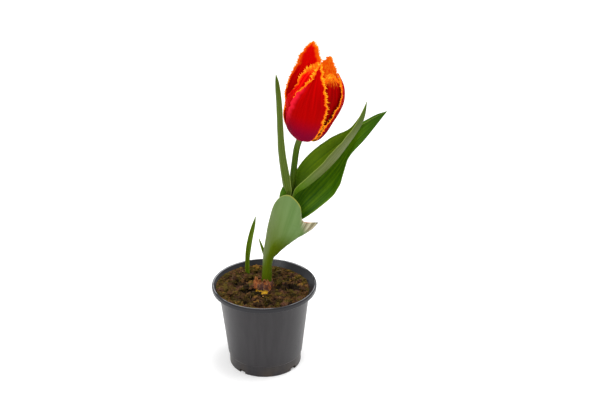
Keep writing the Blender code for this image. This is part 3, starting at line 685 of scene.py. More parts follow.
def make_pot():
    lip = [(RIM_RADIUS - LIP_FLAT, POT_HEIGHT), (RIM_RADIUS - LIP_FLAT - 0.3, POT_HEIGHT - 0.7)]
    profile = rounded(pot_outside() + lip + pot_inside(0.0))
    pile = Pile()
    pile.add(*spun(profile, POT_SIDES))
    pot = pile.build("pot_shell", pot_plastic(), "pot", "pot")
    cutters = []
    for i in range(DRAIN_HOLES):
        turn = 2 * math.pi * (i + 0.5) / DRAIN_HOLES
        at = (DRAIN_CIRCLE * math.sin(turn), -DRAIN_CIRCLE * math.cos(turn))
        hole = Pile()
        hole.add(*spun([(0.0, -3.0), (DRAIN_RADIUS, -3.0), (DRAIN_RADIUS, 6.0), (0.0, 6.0)], 32, at))
        cutters.append(hole)
    for i in range(FOOT_SLOTS):
        cutters.append(slot_cutter(math.radians(FOOT_SLOT_TURN + 360.0 * i / FOOT_SLOTS)))
    cut_away(pot, cutters)


def slot_cutter(turn):
    """Box that cuts one slot through the pot's foot."""
    outwards = np.array((math.sin(turn), -math.cos(turn), 0.0))
    sideways = np.array((math.cos(turn), math.sin(turn), 0.0)) * FOOT_SLOT_WIDTH / 2
    points = [
        outwards * r + sideways * s + np.array((0.0, 0.0, z))
        for r in (FOOT_RADIUS - 2.6, FOOT_RADIUS + 4.0)
        for s in (-1, 1)
        for z in (-2.0, FOOT_SLOT_HEIGHT)
    ]
    box = Pile()
    box.add(points, [(0, 1, 3, 2), (4, 6, 7, 5), (0, 4, 5, 1), (2, 3, 7, 6), (0, 2, 6, 4), (1, 5, 7, 3)])
    return box


def cut_away(target, piles):
    """Cuts helper bodies out of a piece and leaves a plain mesh."""
    helpers = bpy.data.collections.new("cutters")
    bpy.context.scene.collection.children.link(helpers)
    for i, pile in enumerate(piles):
        name = f"cutter_{i}"
        helpers.objects.link(bpy.data.objects.new(name, pile.mesh(name)))
    modifier = target.modifiers.new("cut", "BOOLEAN")
    modifier.operand_type = "COLLECTION"
    modifier.collection = helpers
    modifier.operation = "DIFFERENCE"
    modifier.solver = "EXACT"
    bpy.context.view_layer.update()
    mesh = bpy.data.meshes.new_from_object(target.evaluated_get(bpy.context.evaluated_depsgraph_get()))
    target.modifiers.clear()
    target.data = mesh
    mesh.set_sharp_from_angle(angle=SHARP_ANGLE)
    for helper in list(helpers.objects):
        bpy.data.objects.remove(helper)
    bpy.data.collections.remove(helpers)


# Soil

def soil_height(x, y):
    clods = noise.noise(Vector((x / 11.0, y / 11.0, 3.7)))
    clods += 0.6 * noise.noise(Vector((x / 5.0, y / 5.0, 9.1)))
    slope = -0.03 * x - 0.025 * y
    near_bulb = 1.8 * math.exp(-((x - BULB_AT[0]) ** 2 + (y - BULB_AT[1]) ** 2) / 260.0)
    return SOIL_TOP + slope + near_bulb + SOIL_LUMP * clods


def fine_soil_height(x, y):
    """The solid's clods with crumbs, pits and grit on them."""
    spot = Vector((x, y, 5.0))
    crumbs = abs(noise.noise(spot / 2.6)) * 2.2
    crumbs += abs(noise.noise(spot / 1.1 + Vector((7, 3, 1)))) * 1.1
    pits = max(0.0, noise.noise(spot / 4.5 + Vector((2, 9, 4))) - 0.22) * 6.0
    return soil_height(x, y) + crumbs - 0.8 - pits


def soil_limit(height):
    """Radius of the pot's inner face at a height near the soil's top."""
    return INNER_RADIUS + max(0.0, height - FLARE_HEIGHT)


def soil_edge(turn):
    """Height at which the soil meets the pot's flared lip, and its radius there."""
    height = SOIL_EDGE_HEIGHT - SOIL_EDGE_TILT * math.cos(turn - math.radians(SOIL_LOW_SIDE))
    return height, soil_limit(height) - SOIL_EDGE_GAP


def hollow_depth(x, y, steepness):
    """How deep the pressed hollows are at a place."""
    depth = 0.0
    for hollow_x, hollow_y, wide, deep in SOIL_HOLLOWS:
        away = ((x - hollow_x) ** 2 + (y - hollow_y) ** 2) / wide**2
        depth += deep * math.exp(-(away**steepness))
    return depth


def soil_surface(x, y):
    """Height of the rough soil: hollows pressed in, and its edge brought up to the lip."""
    height, reach = soil_edge(math.atan2(y, x))
    radius = math.hypot(x, y)
    z = fine_soil_height(x, y)
    z -= hollow_depth(x, y, 1.5)
    crumbs = 0.9 * noise.noise(Vector((x / 1.7, y / 1.7, 8.0)))
    crumbs += 0.5 * noise.noise(Vector((x / 4, y / 4, 1.0)))
    z += (height + crumbs - z) * float(smooth_step((radius / reach - 0.76) / 0.24))
    on_wall = FLARE_HEIGHT + radius - INNER_RADIUS
    return max(z, on_wall + 0.2)


def potting_mix(name, tint, lightness=1.0):
    """Peat: brown, olive where moss has started, purple-brown bark; each bit has its own tone, with
    painted shade in the gaps and where it lies low.
    """
    finish = Finish(name, Specular_IOR_Level=0.08)
    patches = finish.noise(9.0, 3.0)
    moss = finish.noise(7.0, 4.0, 0.6).ramp(0.44, 0.58)
    fine = finish.noise(0.9, 4.0, 0.7)
    shade = finish.fact("shade")
    colours = (0.004, 0.002, 0.002), (0.110, 0.052, 0.012), (0.120, 0.088, 0.010), (0.130, 0.056, 0.030)
    dark, brown, olive, bark = (tuple(c * lightness for c in colour) for colour in colours)
    light = (0.26 * lightness, 0.13 * lightness, 0.02)
    colour = finish.mix(patches.ramp(0.38, 0.62), bark, brown)
    colour = finish.mix(moss * 0.85, colour, olive)
    # painted shade: fine near-black mottling for the gaps between crumbs
    colour = finish.mix(fine.ramp(0.62, 0.36) * 0.75, colour, dark)
    # the shade fact darkens: a bit's random tone, and painted shade where the soil lies low
    colour = finish.mix(shade.ramp(0.0, 1.0) * tint, colour, dark)
    colour = finish.mix((1 - shade).ramp(0.96, 1.0) * 0.5, colour, light)
    finish.paint(Base_Color=colour, Roughness=0.92 - fine * 0.1)
    finish.relief(fine + finish.noise(0.35, 3.0) * 0.5, 0.5)
    return finish


def sunk(x, y, z):
    """How much painted shade a bit of soil gets for lying low: 0 on top, 1 deep in a gap."""
    level = soil_height(x, y) + 0.6
    return min(1.0, max(0.0, (level - z) / 2.6) + 0.09 * hollow_depth(x, y, 1.0))


def make_soil_bed():
    """Closed body of soil: a rough top over the shape of the pot's inside."""
    side = pot_inside(SOIL_CLEARANCE)[::-1]
    pile = Pile("shade")
    turns = np.arange(SOIL_SIDES) * 2 * math.pi / SOIL_SIDES
    points = [np.array((0.0, 0.0, side[0][1]))]
    for radius, height in side[1:]:
        points += [np.array((radius * math.cos(t), radius * math.sin(t), height)) for t in turns]
    for i in range(SOIL_RINGS):
        for t in turns:
            radius = soil_edge(t)[1] * (1 - i / SOIL_RINGS)
            x, y = radius * math.cos(t), radius * math.sin(t)
            points.append(np.array((x, y, soil_surface(x, y))))
    points.append(np.array((0.0, 0.0, soil_surface(0.0, 0.0))))
    rings = len(side) - 1 + SOIL_RINGS
    faces = [(0, 1 + (j + 1) % SOIL_SIDES, 1 + j) for j in range(SOIL_SIDES)]
    for i in range(rings - 1):
        for j in range(SOIL_SIDES):
            k = (j + 1) % SOIL_SIDES
            low, high = 1 + i * SOIL_SIDES, 1 + (i + 1) * SOIL_SIDES
            faces.append((low + j, low + k, high + k, high + j))
    last = 1 + (rings - 1) * SOIL_SIDES
    faces += [(last + j, last + (j + 1) % SOIL_SIDES, len(points) - 1) for j in range(SOIL_SIDES)]
    # painted shade: the bed darker where it lies low
    shades = [0.30 + 0.70 * sunk(*point) for point in points]
    pile.add(points, faces, shade=shades)
    pile.build("soil_bed", potting_mix("soil_bed_mix", 0.95), "soil", "soil")


def spot_on_soil(draw, margin):
    """Random place on the soil, clear of the bulb's neck."""
    while True:
        turn = draw.uniform(0, 2 * math.pi)
        radius = soil_edge(turn)[1] * math.sqrt(draw.random())
        x, y = radius * math.cos(turn), radius * math.sin(turn)
        if radius + margin > soil_edge(turn)[1] - 0.2:
            continue
        clear = NECK_CLEARANCE[0 if y > BULB_AT[1] - 3.0 else 1]
        if math.hypot(x - BULB_AT[0], y - BULB_AT[1]) < clear + margin:
            continue
        return x, y, soil_surface(x, y)


def scatter(name, finish):
    """Bits of many shapes strewn over the soil, larger ones rarer."""
    seed, count, sizes, subdivisions, flat, rough = SOIL_BITS[name]
    draw = random.Random(seed)
    unit_points, unit_faces = ball(subdivisions)
    pile = Pile("shade")
    for _ in range(count):
        size = sizes[0] + (sizes[1] - sizes[0]) * draw.random() ** 2.2
        x, y, z = spot_on_soil(draw, size)
        offset = Vector((draw.uniform(0, 90), draw.uniform(0, 90), draw.uniform(0, 90)))
        stretch = [draw.uniform(0.65, 1.35), draw.uniform(0.65, 1.35), draw.uniform(0.5, 1.0) * flat]
        turn = draw.uniform(0, 2 * math.pi)
        c, s = math.cos(turn), math.sin(turn)
        spin = np.array(((c, -s, 0), (s, c, 0), (0, 0, 1)))
        lumps = np.array([1 + rough * 2 * noise.noise(Vector(p) * 1.4 + offset) for p in unit_points])
        made = (unit_points * lumps[:, None] * stretch * size) @ spin.T
        centre = (x, y, z + 0.25 * size)
        # random tone, plus painted shade where the bit lies low
        shade = min(1.0, draw.random() ** 1.6 * 0.7 + 0.8 * sunk(*centre))
        pile.add(made + np.array(centre), unit_faces, shade=shade)
    pile.build(name, finish, "soil")


def make_fibres():
    """Pale and dark root fibres and bits of straw lying in the soil."""
    finish = Finish("peat_fibre", Roughness=0.8)
    shade = finish.fact("shade")
    colour = finish.mix(shade, (0.05, 0.025, 0.012), (0.24, 0.13, 0.05))
    finish.paint(Base_Color=colour)
    draw = random.Random(FIBRE_SEED)
    pile = Pile("shade")
    for _ in range(FIBRES):
        length = draw.uniform(*FIBRE_LENGTHS)
        x, y, _ = spot_on_soil(draw, length * 0.55)
        turn = draw.uniform(0, 2 * math.pi)
        bend = draw.uniform(-1.2, 1.2)
        path = []
        for share in np.linspace(-0.5, 0.5, 7):
            heading = turn + bend * share
            px = x + length * share * math.cos(heading)
            py = y + length * share * math.sin(heading)
            arch = 0.5 * math.cos(3 * share) * draw.uniform(0.2, 1.0)
            path.append((px, py, soil_surface(px, py) + 0.2 + arch))
        width = draw.uniform(*FIBRE_WIDTHS)
        radii = [width * 0.5, *[width] * 5, width * 0.4]
        add_tube(pile, path, radii, 5, shade=draw.random())
    pile.build("peat_fibres", finish, "soil")


def make_soil():
    make_soil_bed()
    scatter("soil_clods", potting_mix("clod_mix", 0.9, 1.1))
    scatter("soil_crumbs", potting_mix("crumb_mix", 0.9, 1.15))
    scatter("soil_grains", potting_mix("grain_mix", 0.8, 1.25))
    amber = Finish("bark_chip", Roughness=0.5)
    amber.paint(Base_Color=amber.mix(amber.fact("shade"), (0.42, 0.13, 0.02), (0.62, 0.36, 0.06)))
    scatter("bark_chips", amber)
    make_fibres()


# Bulb

def bulb_radius(height):
    return np.interp(height, [z for _, z in BULB_PROFILE], [r for r, _ in BULB_PROFILE])


def bulb_flesh():
    finish = Finish("bulb_flesh", Specular_IOR_Level=0.2)
    streaks = finish.noise(1.2, 4.0, 0.6, (1.0, 1.0, 0.15))
    height = finish.height()
    colour = finish.mix(streaks.ramp(0.35, 0.65), (0.56, 0.26, 0.003), (0.74, 0.42, 0.010))
    colour = finish.mix(height.ramp(0.067, 0.064) * 0.7, colour, (0.25, 0.10, 0.01))
    colour = finish.mix(height.ramp(0.0712, 0.0718) * 0.95, colour, (0.050, 0.016, 0.012))
    finish.paint(Base_Color=colour, Roughness=0.42 + streaks * 0.15)
    finish.relief(streaks, 0.2)
    return finish


def root_path(index):
    """Points of one root, which runs outwards and down from the bulb's foot."""
    turn = 2 * math.pi * index / ROOTS
    x, y = BULB_AT
    path = []
    near, far = ROOT_REACH
    for share in np.linspace(0.0, 1.0, ROOT_POINTS):
        out = near + (far - near) * share
        swing = turn + 0.5 * share
        height = ROOT_HEIGHT - ROOT_DROP * share**0.8
        path.append((x + out * math.cos(swing), y * (1 - share) + out * math.sin(swing), height))
    return path


def make_bulb():
    line = [tuple(p) for p in curve_at(BULB_PROFILE, np.linspace(0, 1, 90)) if p[1] < NECK_WORN_TO]
    profile = [(0.0, BULB_PROFILE[0][1]), *line]
    profile += [(SOCKET_RADIUS + 0.4, NECK_WORN_TO), (SOCKET_RADIUS, NECK_WORN_TO - 0.6)]
    profile += [(SOCKET_RADIUS, SOCKET_FLOOR), (0.0, SOCKET_FLOOR)]
    pile = Pile()
    points, faces = spun(profile, 72, BULB_AT)
    points[:, 0] -= NECK_LEAN * smooth_step((points[:, 2] - NECK_LEAN_FROM) / NECK_LEAN_OVER)
    pile.add(points, faces)
    for i in range(ROOTS):
        add_tube(pile, root_path(i), np.linspace(*ROOT_RADII, ROOT_POINTS), 8)
    pile.build("bulb_body", bulb_flesh(), "bulb", "bulb")


def papery_skin():
    """Dry tunic: red-brown and glossy, with darker veins and pale torn edges."""
    finish = Finish("papery_skin", Specular_IOR_Level=0.3)
    streaks = finish.noise(0.8, 5.0, 0.65, (1.0, 1.0, 0.2))
    patches = finish.noise(3.0, 3.0)
    tear = finish.fact("edge").ramp(0.9, 0.0)
    dark = finish.mix(streaks.ramp(0.35, 0.65), (0.018, 0.006, 0.007), (0.060, 0.018, 0.014))
    light = finish.mix(streaks.ramp(0.35, 0.65), (0.13, 0.026, 0.006), (0.46, 0.13, 0.022))
    colour = finish.mix(finish.fact("tone"), dark, light)
    colour = finish.mix(patches.ramp(0.52, 0.68) * 0.35, colour, (0.46, 0.16, 0.03))
    colour = finish.mix(tear * 0.4, colour, (0.55, 0.27, 0.09))
    finish.paint(Base_Color=colour, Roughness=0.36 + patches * 0.25)
    finish.relief(streaks + patches * 0.5, 0.4)
    return finish


def round_neck(out, turn, z):
    """Grid of points at distances out from the neck's axis, turned from the front towards +X."""
    return np.stack([NECK_AT[0] + out * np.sin(turn), NECK_AT[1] - out * np.cos(turn), z], axis=-1)


def make_skin(finish):
    """Skin round the bulb's shoulder, torn along its upper and lower edges, slit at the back."""
    u, v = grid_shares(SKIN_GRID)
    turn = np.radians(SKIN_HALF_TURN) * v[None, :]
    front = np.exp(-(((turn + 0.36) / 1.10) ** 4))
    tear = 1.4 * np.sin(5.0 * turn + 0.6) + 0.9 * np.sin(11.0 * turn) + 0.5 * np.sin(29.0 * turn)
    ragged = 0.5 * np.sin(17.0 * turn + 1.0) + 0.3 * np.sin(41.0 * turn)
    low = SKIN_LOW + (SKIN_WINDOW_LOW - SKIN_LOW) * front + ragged
    top = SKIN_TOP - 2.0 + tear * 0.8 - 2.4 * smooth_step(np.abs(turn) / 1.6 - 0.4)
    z = low + (top - low) * u[:, None]
    crinkle = 0.16 * np.sin(23.0 * turn + 0.5 * z) + 0.12 * np.sin(9.0 * turn - 0.8 * z)
    flare = 0.5 * np.maximum(0.0, z - SKIN_FLARE_FROM)
    inwards = SKIN_PINCH * smooth_step((z - SKIN_PINCH_FROM) / 4.0) * (1 - 0.5 * front)
    out = bulb_radius(z) + 0.75 + flare * front + crinkle - inwards
    edge = np.minimum(top - z, z - low)
    pile = Pile("edge", "face", "tone")
    add_sheet(pile, round_neck(out, turn, z), np.full(z.shape, SKIN_THICKNESS), edge=edge, tone=0.18)
    pile.build("bulb_skin_wrap", finish, "skin", "bulb_skin")


def make_flakes(finish):
    """Loose flakes of dry skin that stand off the bulb's neck."""
    pile = Pile("edge", "face", "tone")
    u, v = np.ix_(*grid_shares(FLAKE_GRID))
    for i, (facing, foot, tall, wide, lean, curl, tone) in enumerate(FLAKES):
        narrow = 0.72 + 0.5 * u - 0.95 * u**3
        ragged = 1 + 0.10 * np.sin(7 * v + 2 * i) + 0.07 * np.sin(19 * v + 3 * i)
        z = foot + tall * u * ragged + 0.4 * np.sin(5 * v + i) * (1 - u)
        base = np.maximum(bulb_radius(np.minimum(z, 76.0)), 6.3) + 0.95
        base = base - 1.6 * smooth_step((z - 73.5) / 4.0)
        turn = math.radians(facing) + wide / base * v * narrow * (1 + 0.14 * np.sin(11 * u + i))
        turn = turn + 0.10 * u * (i % 3 - 1)
        out = base + lean * (z - foot) + curl * u**2 * 1.3 - 0.9 * curl * v**2 * u
        out = out + 0.28 * np.sin(7 * v + 9 * u + i) + 0.14 * np.sin(17 * v - 13 * u)
        edge = np.minimum((1 - np.abs(v)) * wide, (1 - u) * tall)
        add_sheet(pile, round_neck(out, turn, z), np.full(z.shape, FLAKE_THICKNESS), edge=edge, tone=tone)
    pile.build("skin_flakes", finish, "skin")


# Stem, leaves and shoots

def stem_centre(heights):
    """Points on the stem's centre line at given heights."""
    points = np.asarray(STEM)
    return np.stack([np.interp(heights, points[:, 2], points[:, i]) for i in range(3)], axis=-1)


def leaf_finish(name, near, far, margin, veins, foot=None, shine=0.12, stripes=0.3):
    """Smooth leaf with parallel veins, a paler margin and its own colours on either side."""
    finish = Finish(name, Specular_IOR_Level=shine)
    along, across, edge, face = (finish.fact(fact) for fact in ("along", "across", "edge", "face"))
    lines = finish.lines(across, veins, along)
    broad = finish.lines(across, veins / 6, along, 1.2)
    clouds = finish.noise(14.0, 3.0)

    def shaded(colours):
        dark, light = colours
        colour = finish.mix(broad.ramp(0.3, 0.7), dark, light)
        bright = tuple(min(1.0, c * 1.3) for c in light)
        return finish.mix(lines.ramp(0.55, 0.72) * stripes, colour, bright)

    colour = finish.mix(face, shaded(near), shaded(far))
    colour = finish.mix(clouds.ramp(0.35, 0.7) * 0.25 * (1 - face), colour, near[0])
    # painted highlight: a lighter line along the rib
    colour = finish.mix(abs(across).ramp(0.05, 0.0) * stripes, colour, near[1])
    if foot:
        colour = finish.mix(along.ramp(foot[1], foot[2]), foot[0], colour)
    colour = finish.mix(along.ramp(0.66, 0.95) * 0.7, colour, tuple(c * 0.7 for c in near[0]))
    colour = finish.mix(edge.ramp(0.75, 0.15) * 0.7, colour, margin)
    finish.paint(Base_Color=colour, Roughness=0.34 + lines * 0.12 + clouds * 0.08)
    finish.relief(lines + broad * 0.6, 0.16)
    return finish, along, across, edge, colour


def leaf_sheet(leaf):
    """Leaf surface as a grid of points, with its shares along and across."""
    u, v = grid_shares(LEAF_GRID, LEAF_END)
    rib, left, right = (curve_at(leaf[line], u)[:, None] for line in ("rib", "left", "right"))
    across = v[None, :, None]
    arch = left * across * (across - 1) / 2 + rib * (1 - across**2) + right * across * (across + 1) / 2
    fold = rib + (np.where(across > 0, right, left) - rib) * np.abs(across)
    sheet = fold + (arch - fold) * leaf["roundness"]
    height, waves = leaf["ripple"]
    swell = np.sin(2 * math.pi * waves * u) * np.sin(math.pi * u)
    sheet[..., 1] -= height * swell[:, None] * np.maximum(v, 0.0)[None, :] ** 2
    radius, half_angle, facing, until = leaf["sheath"]
    wrap = (1.0 - smooth_step(u / until))[:, None, None]
    turn = np.radians(facing + half_angle * v)
    circle = radius * np.stack([np.cos(turn), np.sin(turn), np.zeros_like(turn)], axis=-1)
    wrapped = stem_centre(rib[:, 0, 2])[:, None] + circle[None]
    return sheet + (wrapped - sheet) * wrap, u, v


def edge_distance(sheet):
    """Distance from each point of a sheet to its nearer margin, about, in millimetres."""
    steps = np.linalg.norm(np.diff(sheet, axis=1), axis=-1)
    from_left = np.concatenate([np.zeros((len(sheet), 1)), np.cumsum(steps, axis=1)], axis=1)
    return np.minimum(from_left, from_left[:, -1:] - from_left)


def thickness_of(edge, middle, margin, reach=3.0):
    """Thickness that grows from the margin's to the middle's over a reach from the edge."""
    return margin + (middle - margin) * smooth_step(edge / reach)


def fan_lines(sheet, centre, low, high):
    """Shares from -1 to 1 of the angles at which points are seen from a centre low on the leaf."""
    x, z = centre
    angle = np.degrees(np.arctan2(sheet[..., 0] - x, sheet[..., 2] - z))
    return np.clip((angle - low) / (high - low), 0.0, 1.0) * 2 - 1


def build_green(name, sheet, u, across, edge, thickness, finish, slot, *replaced):
    """Puts one leaf, sheath or shoot in the scene."""
    pile = Pile("along", "across", "edge", "face")
    add_sheet(pile, sheet, thickness, along=u[:, None], across=across, edge=edge)
    pile.build(name, finish, slot, *replaced)


def make_leaf(name, node, finish, slot="leaf", waver=0.25, fan=None):
    """One leaf, wavering by up to some millimetres near its margins; a fan guides its veins."""
    sheet, u, v = leaf_sheet(LEAVES[node])
    edge = edge_distance(sheet)
    across = fan_lines(sheet, *fan) if fan else v[None, :]
    free = smooth_step((u - 0.25) / 0.2)[:, None]
    wave = np.sin(u[:, None] * 31 + v[None, :] * 2) + 0.6 * np.sin(u[:, None] * 57 - v[None, :] * 3 + 1)
    lift = waver * wave * v[None, :] ** 2 * free * np.sin(math.pi * u)[:, None]
    sheet = sheet + sheet_normals(sheet) * lift[..., None]
    build_green(name, sheet, u, across, edge, thickness_of(edge, *LEAF_THICKNESS), finish, slot, node)


def make_clasp(finish):
    """Short sheath that clasps the stem on the left, just above the lowest leaf."""
    u, v = grid_shares(CLASP_GRID)
    left, right = (curve_at(CLASP[side], u)[:, None] for side in ("left", "right"))
    share = (v[None, :, None] + 1) / 2
    sheet = left + (right - left) * share
    sheet[..., 1] -= 1.2 * (1 - v[None, :] ** 2) * np.sin(math.pi * u)[:, None]
    edge = edge_distance(sheet)
    thickness = thickness_of(edge, *CLASP_THICKNESS)
    build_green("clasping_sheath", sheet, u, v[None, :], edge, thickness, finish, "leaf")


def make_shoot(name, node, finish):
    u, v = grid_shares(SHOOT_GRID, SHOOT_END)
    shoot = SHOOTS[node]
    rib = curve_at(shoot["rib"], u)
    half = np.maximum(curve_at(shoot["half_width"], u), 0.05)
    x = rib[:, :1] + half[:, None] * v
    y = rib[:, 1:2] - 0.5 * half[:, None] * v**2
    sheet = np.stack([x, y, np.broadcast_to(rib[:, 2:], x.shape)], axis=-1)
    edge = edge_distance(sheet)
    thickness = thickness_of(edge, *SHOOT_THICKNESS, 1.0)
    build_green(name, sheet, u, v[None, :], edge, thickness, finish, "leaf", node)


def stem_finish():
    finish = Finish("stem_skin", Specular_IOR_Level=0.08)
    ridges = finish.noise(0.7, 2.0, 0.5, (1.0, 1.0, 0.04))
    clouds = finish.noise(9.0, 3.0)
    height = finish.height()
    colour = finish.mix(ridges.ramp(0.35, 0.65), (0.036, 0.078, 0.001), (0.068, 0.118, 0.003))
    colour = finish.mix(clouds.ramp(0.4, 0.7) * 0.4, colour, (0.10, 0.145, 0.012))
    colour = finish.mix(height.ramp(0.198, 0.210) * 0.5, colour, (0.16, 0.20, 0.05))
    finish.paint(Base_Color=colour, Roughness=0.4 + clouds * 0.1)
    finish.relief(ridges, 0.12)
    return finish


def bloom_directions():
    """The bloom's origin, and its directions to the side, to the back and along its axis."""
    lean = math.radians(BLOOM_LEAN)
    side = np.array((math.cos(lean), 0.0, -math.sin(lean)))
    axis = np.array((math.sin(lean), 0.0, math.cos(lean)))
    return np.array(BLOOM_AT), side, np.array((0.0, 1.0, 0.0)), axis


def make_stem():
    shares = np.linspace(0, 1, 90)
    path = list(curve_at(STEM, shares))
    thick, thin = STEM_RADII
    radii = list(thick + (thin - thick) * shares)
    origin, _, _, axis = bloom_directions()
    for height, radius in ((0.0, 3.2), (0.5, 4.3), (0.9, RECEPTACLE_RADIUS), (RECEPTACLE_HEIGHT, 4.2)):
        path.append(origin + height * axis)
        radii.append(radius)
    pile = Pile()
    add_tube(pile, path, radii, 36)
    pile.build("stem_stalk", stem_finish(), "leaf", "stem")


def make_greens():
    """The four leaves, the small sheath and the two shoots."""
    deep = ((0.020, 0.082, 0.0), (0.082, 0.180, 0.0002))
    # painted light: lit is a lighter copy of the deep green, for the front leaf
    lit = ((0.068, 0.146, 0.0), (0.148, 0.250, 0.0002))
    grey = ((0.080, 0.108, 0.018), (0.136, 0.160, 0.050))
    olive = ((0.048, 0.088, 0.001), (0.104, 0.140, 0.022))
    pale = (0.25, 0.32, 0.06)
    back, *_ = leaf_finish("leaf_back_green", deep, deep, pale, 70, (deep[0], 0.0, 0.2), 0.08)
    front, *_ = leaf_finish("leaf_front_green", lit, grey, pale, 60, (lit[0], 0.14, 0.42), 0.08)
    left, *_ = leaf_finish("leaf_left_green", olive, olive, pale, 34, None, 0.08)
    make_leaf("broad_leaf_back", "leaf_right_back", back)
    make_leaf("folded_leaf_front", "leaf_right_front", front)
    make_leaf("narrow_leaf_left", "leaf_left", left, waver=0.1)
    make_clasp(back)
    make_leaf("lower_leaf", "leaf_lower", lower_leaf_finish(), "leaf_bluish", 0.12, LOWER_LEAF_FAN)
    bright = ((0.060, 0.120, 0.001), (0.122, 0.192, 0.003))
    shoot, *_ = leaf_finish("shoot_green", bright, bright, (0.18, 0.26, 0.02), 16)
    make_shoot("side_shoot_left", "shoot_left", shoot)
    make_shoot("side_shoot_behind", "shoot_behind", shoot)


def lower_leaf_finish():
    """Pale leaf with a waxy bluish bloom, yellow-green at its foot, dry and brown near its tip."""
    waxy = ((0.092, 0.170, 0.040), (0.142, 0.224, 0.074))
    inner = ((0.05, 0.13, 0.01), (0.10, 0.20, 0.02))
    foot = (0.078, 0.120, 0.0004)
    finish, along, across, edge, colour = leaf_finish(
        "leaf_waxy", waxy, inner, (0.34, 0.38, 0.12), 30, (foot, 0.24, 0.68), 0.12, 0.12
    )
    dry = finish.noise(2.2, 4.0)
    fibres = finish.lines(across, 60, along).ramp(0.40, 0.60)
    withered = finish.mix(fibres, (0.20, 0.16, 0.09), (0.50, 0.46, 0.32))
    # painted shade: the flap beyond the fold, turned from the light, in a duller yellow-grey green
    near_side = across.ramp(0.20, 0.85) * along.ramp(0.35, 0.65)
    colour = finish.mix(near_side * 0.55, colour, (0.15, 0.165, 0.045))
    colour = finish.mix((along + across * 0.10).ramp(0.76, 0.90) * 0.85, colour, withered)
    far_side = across.ramp(0.42, 0.30)
    spot = along.ramp(0.84, 0.87) * along.ramp(0.955, 0.92) * (edge + dry * 3.0 - 1.5).ramp(2.6, 0.6)
    spot = spot * far_side
    rind = edge.ramp(1.6, 0.3) * along.ramp(0.52, 0.66) * along.ramp(0.90, 0.87) * far_side
    colour = finish.mix(rind * 0.8, colour, (0.30, 0.30, 0.03))
    colour = finish.mix(spot * 0.9, colour, (0.42, 0.12, 0.015))
    finish.paint(Base_Color=finish.mix(along.ramp(0.965, 0.985) * 0.8, colour, (0.05, 0.06, 0.03)))
    return finish


# Bloom

def petal_sheet(node, seed):
    """Petal surface, ruffled a little towards its margins and creased along its middle."""
    profile, left, right, turn, length, width = PETALS[node]
    twist, spread = PETAL_BENDS[node]
    u, v = grid_shares(PETAL_GRID, PETAL_END)
    reach, height = curve_at(profile, u).T
    reach = reach + curve_at(spread, u)
    height = height * length
    left, right = (curve_at(outline, u)[:, None] for outline in (left, right))
    half = np.where(v[None, :] < 0, left, right) * width
    half = half * np.clip((1.0 - u) / 0.03, 0.0, 1.0)[:, None]
    reach = np.where(u < 0.12, np.maximum(reach, profile[0][0]), reach)
    free = smooth_step((u - 0.25) / 0.3)[:, None]
    notches = 0.0
    for k, (waves, depth) in enumerate(PETAL_NOTCHES):
        shift = seed * (k + 2) + 1.3 * np.sign(v)[None, :] * (k + 1)
        notches = notches + depth * np.sin(waves * u[:, None] + shift)
    wide = half * v[None, :] + np.sign(v)[None, :] * v[None, :] ** 4 * notches * free
    facing = np.radians(turn + curve_at(twist, u))[:, None]
    angle = facing + wide / np.maximum(reach, 3.6)[:, None]
    ruffle = np.sin(u[:, None] * 26 + seed * 1.7 + 2.2 * v) + 0.6 * np.sin(u[:, None] * 49 - 3 * v + seed)
    crease = -0.45 * np.exp(-((v[None, :] / 0.07) ** 2)) * smooth_step((u - 0.15) / 0.3)[:, None]
    out = reach[:, None] + 0.32 * ruffle * np.abs(v[None, :]) ** 3 * free + crease
    leftward = np.maximum(0.0, -out * np.sin(angle) - 3.0)
    height = height[:, None] + BASE_SLANT * leftward * np.maximum(0.0, 1 - height[:, None] / 16.0)
    origin, side, back, axis = bloom_directions()
    sheet = origin + out[..., None] * (np.sin(angle)[..., None] * side - np.cos(angle)[..., None] * back)
    return sheet + height[..., None] * axis, u, v


def add_tooth(pile, foot, heading, flat, normal, length, wide, along, bend):
    """One fringe tooth: a thin flat thorn whose foot is sunk in the petal's margin."""
    thick = TOOTH_HALF_THICKNESS
    points = []
    depths = []
    for share, narrow in ((-0.3, 1.0), (0.2, 0.9), (0.65, 0.6)):
        centre = foot + heading * length * share + normal * bend * max(share, 0.0) ** 2
        for across, up in ((-1, 0), (0, 1), (1, 0), (0, -1)):
            points.append(centre + flat * wide * narrow * across + normal * thick * narrow * up)
            depths.append(-max(share, 0.0) * length)
    points.append(foot + heading * length + normal * bend)
    depths.append(-length)
    faces = [(3, 2, 1, 0)]
    for ring in (0, 4):
        faces += [(ring + i, ring + (i + 1) % 4, ring + 4 + (i + 1) % 4, ring + 4 + i) for i in range(4)]
    faces += [(8 + i, 8 + (i + 1) % 4, 12) for i in range(4)]
    pile.add(points, faces, along=along, across=0.0, edge=depths, face=0.5, fringed=1.0)


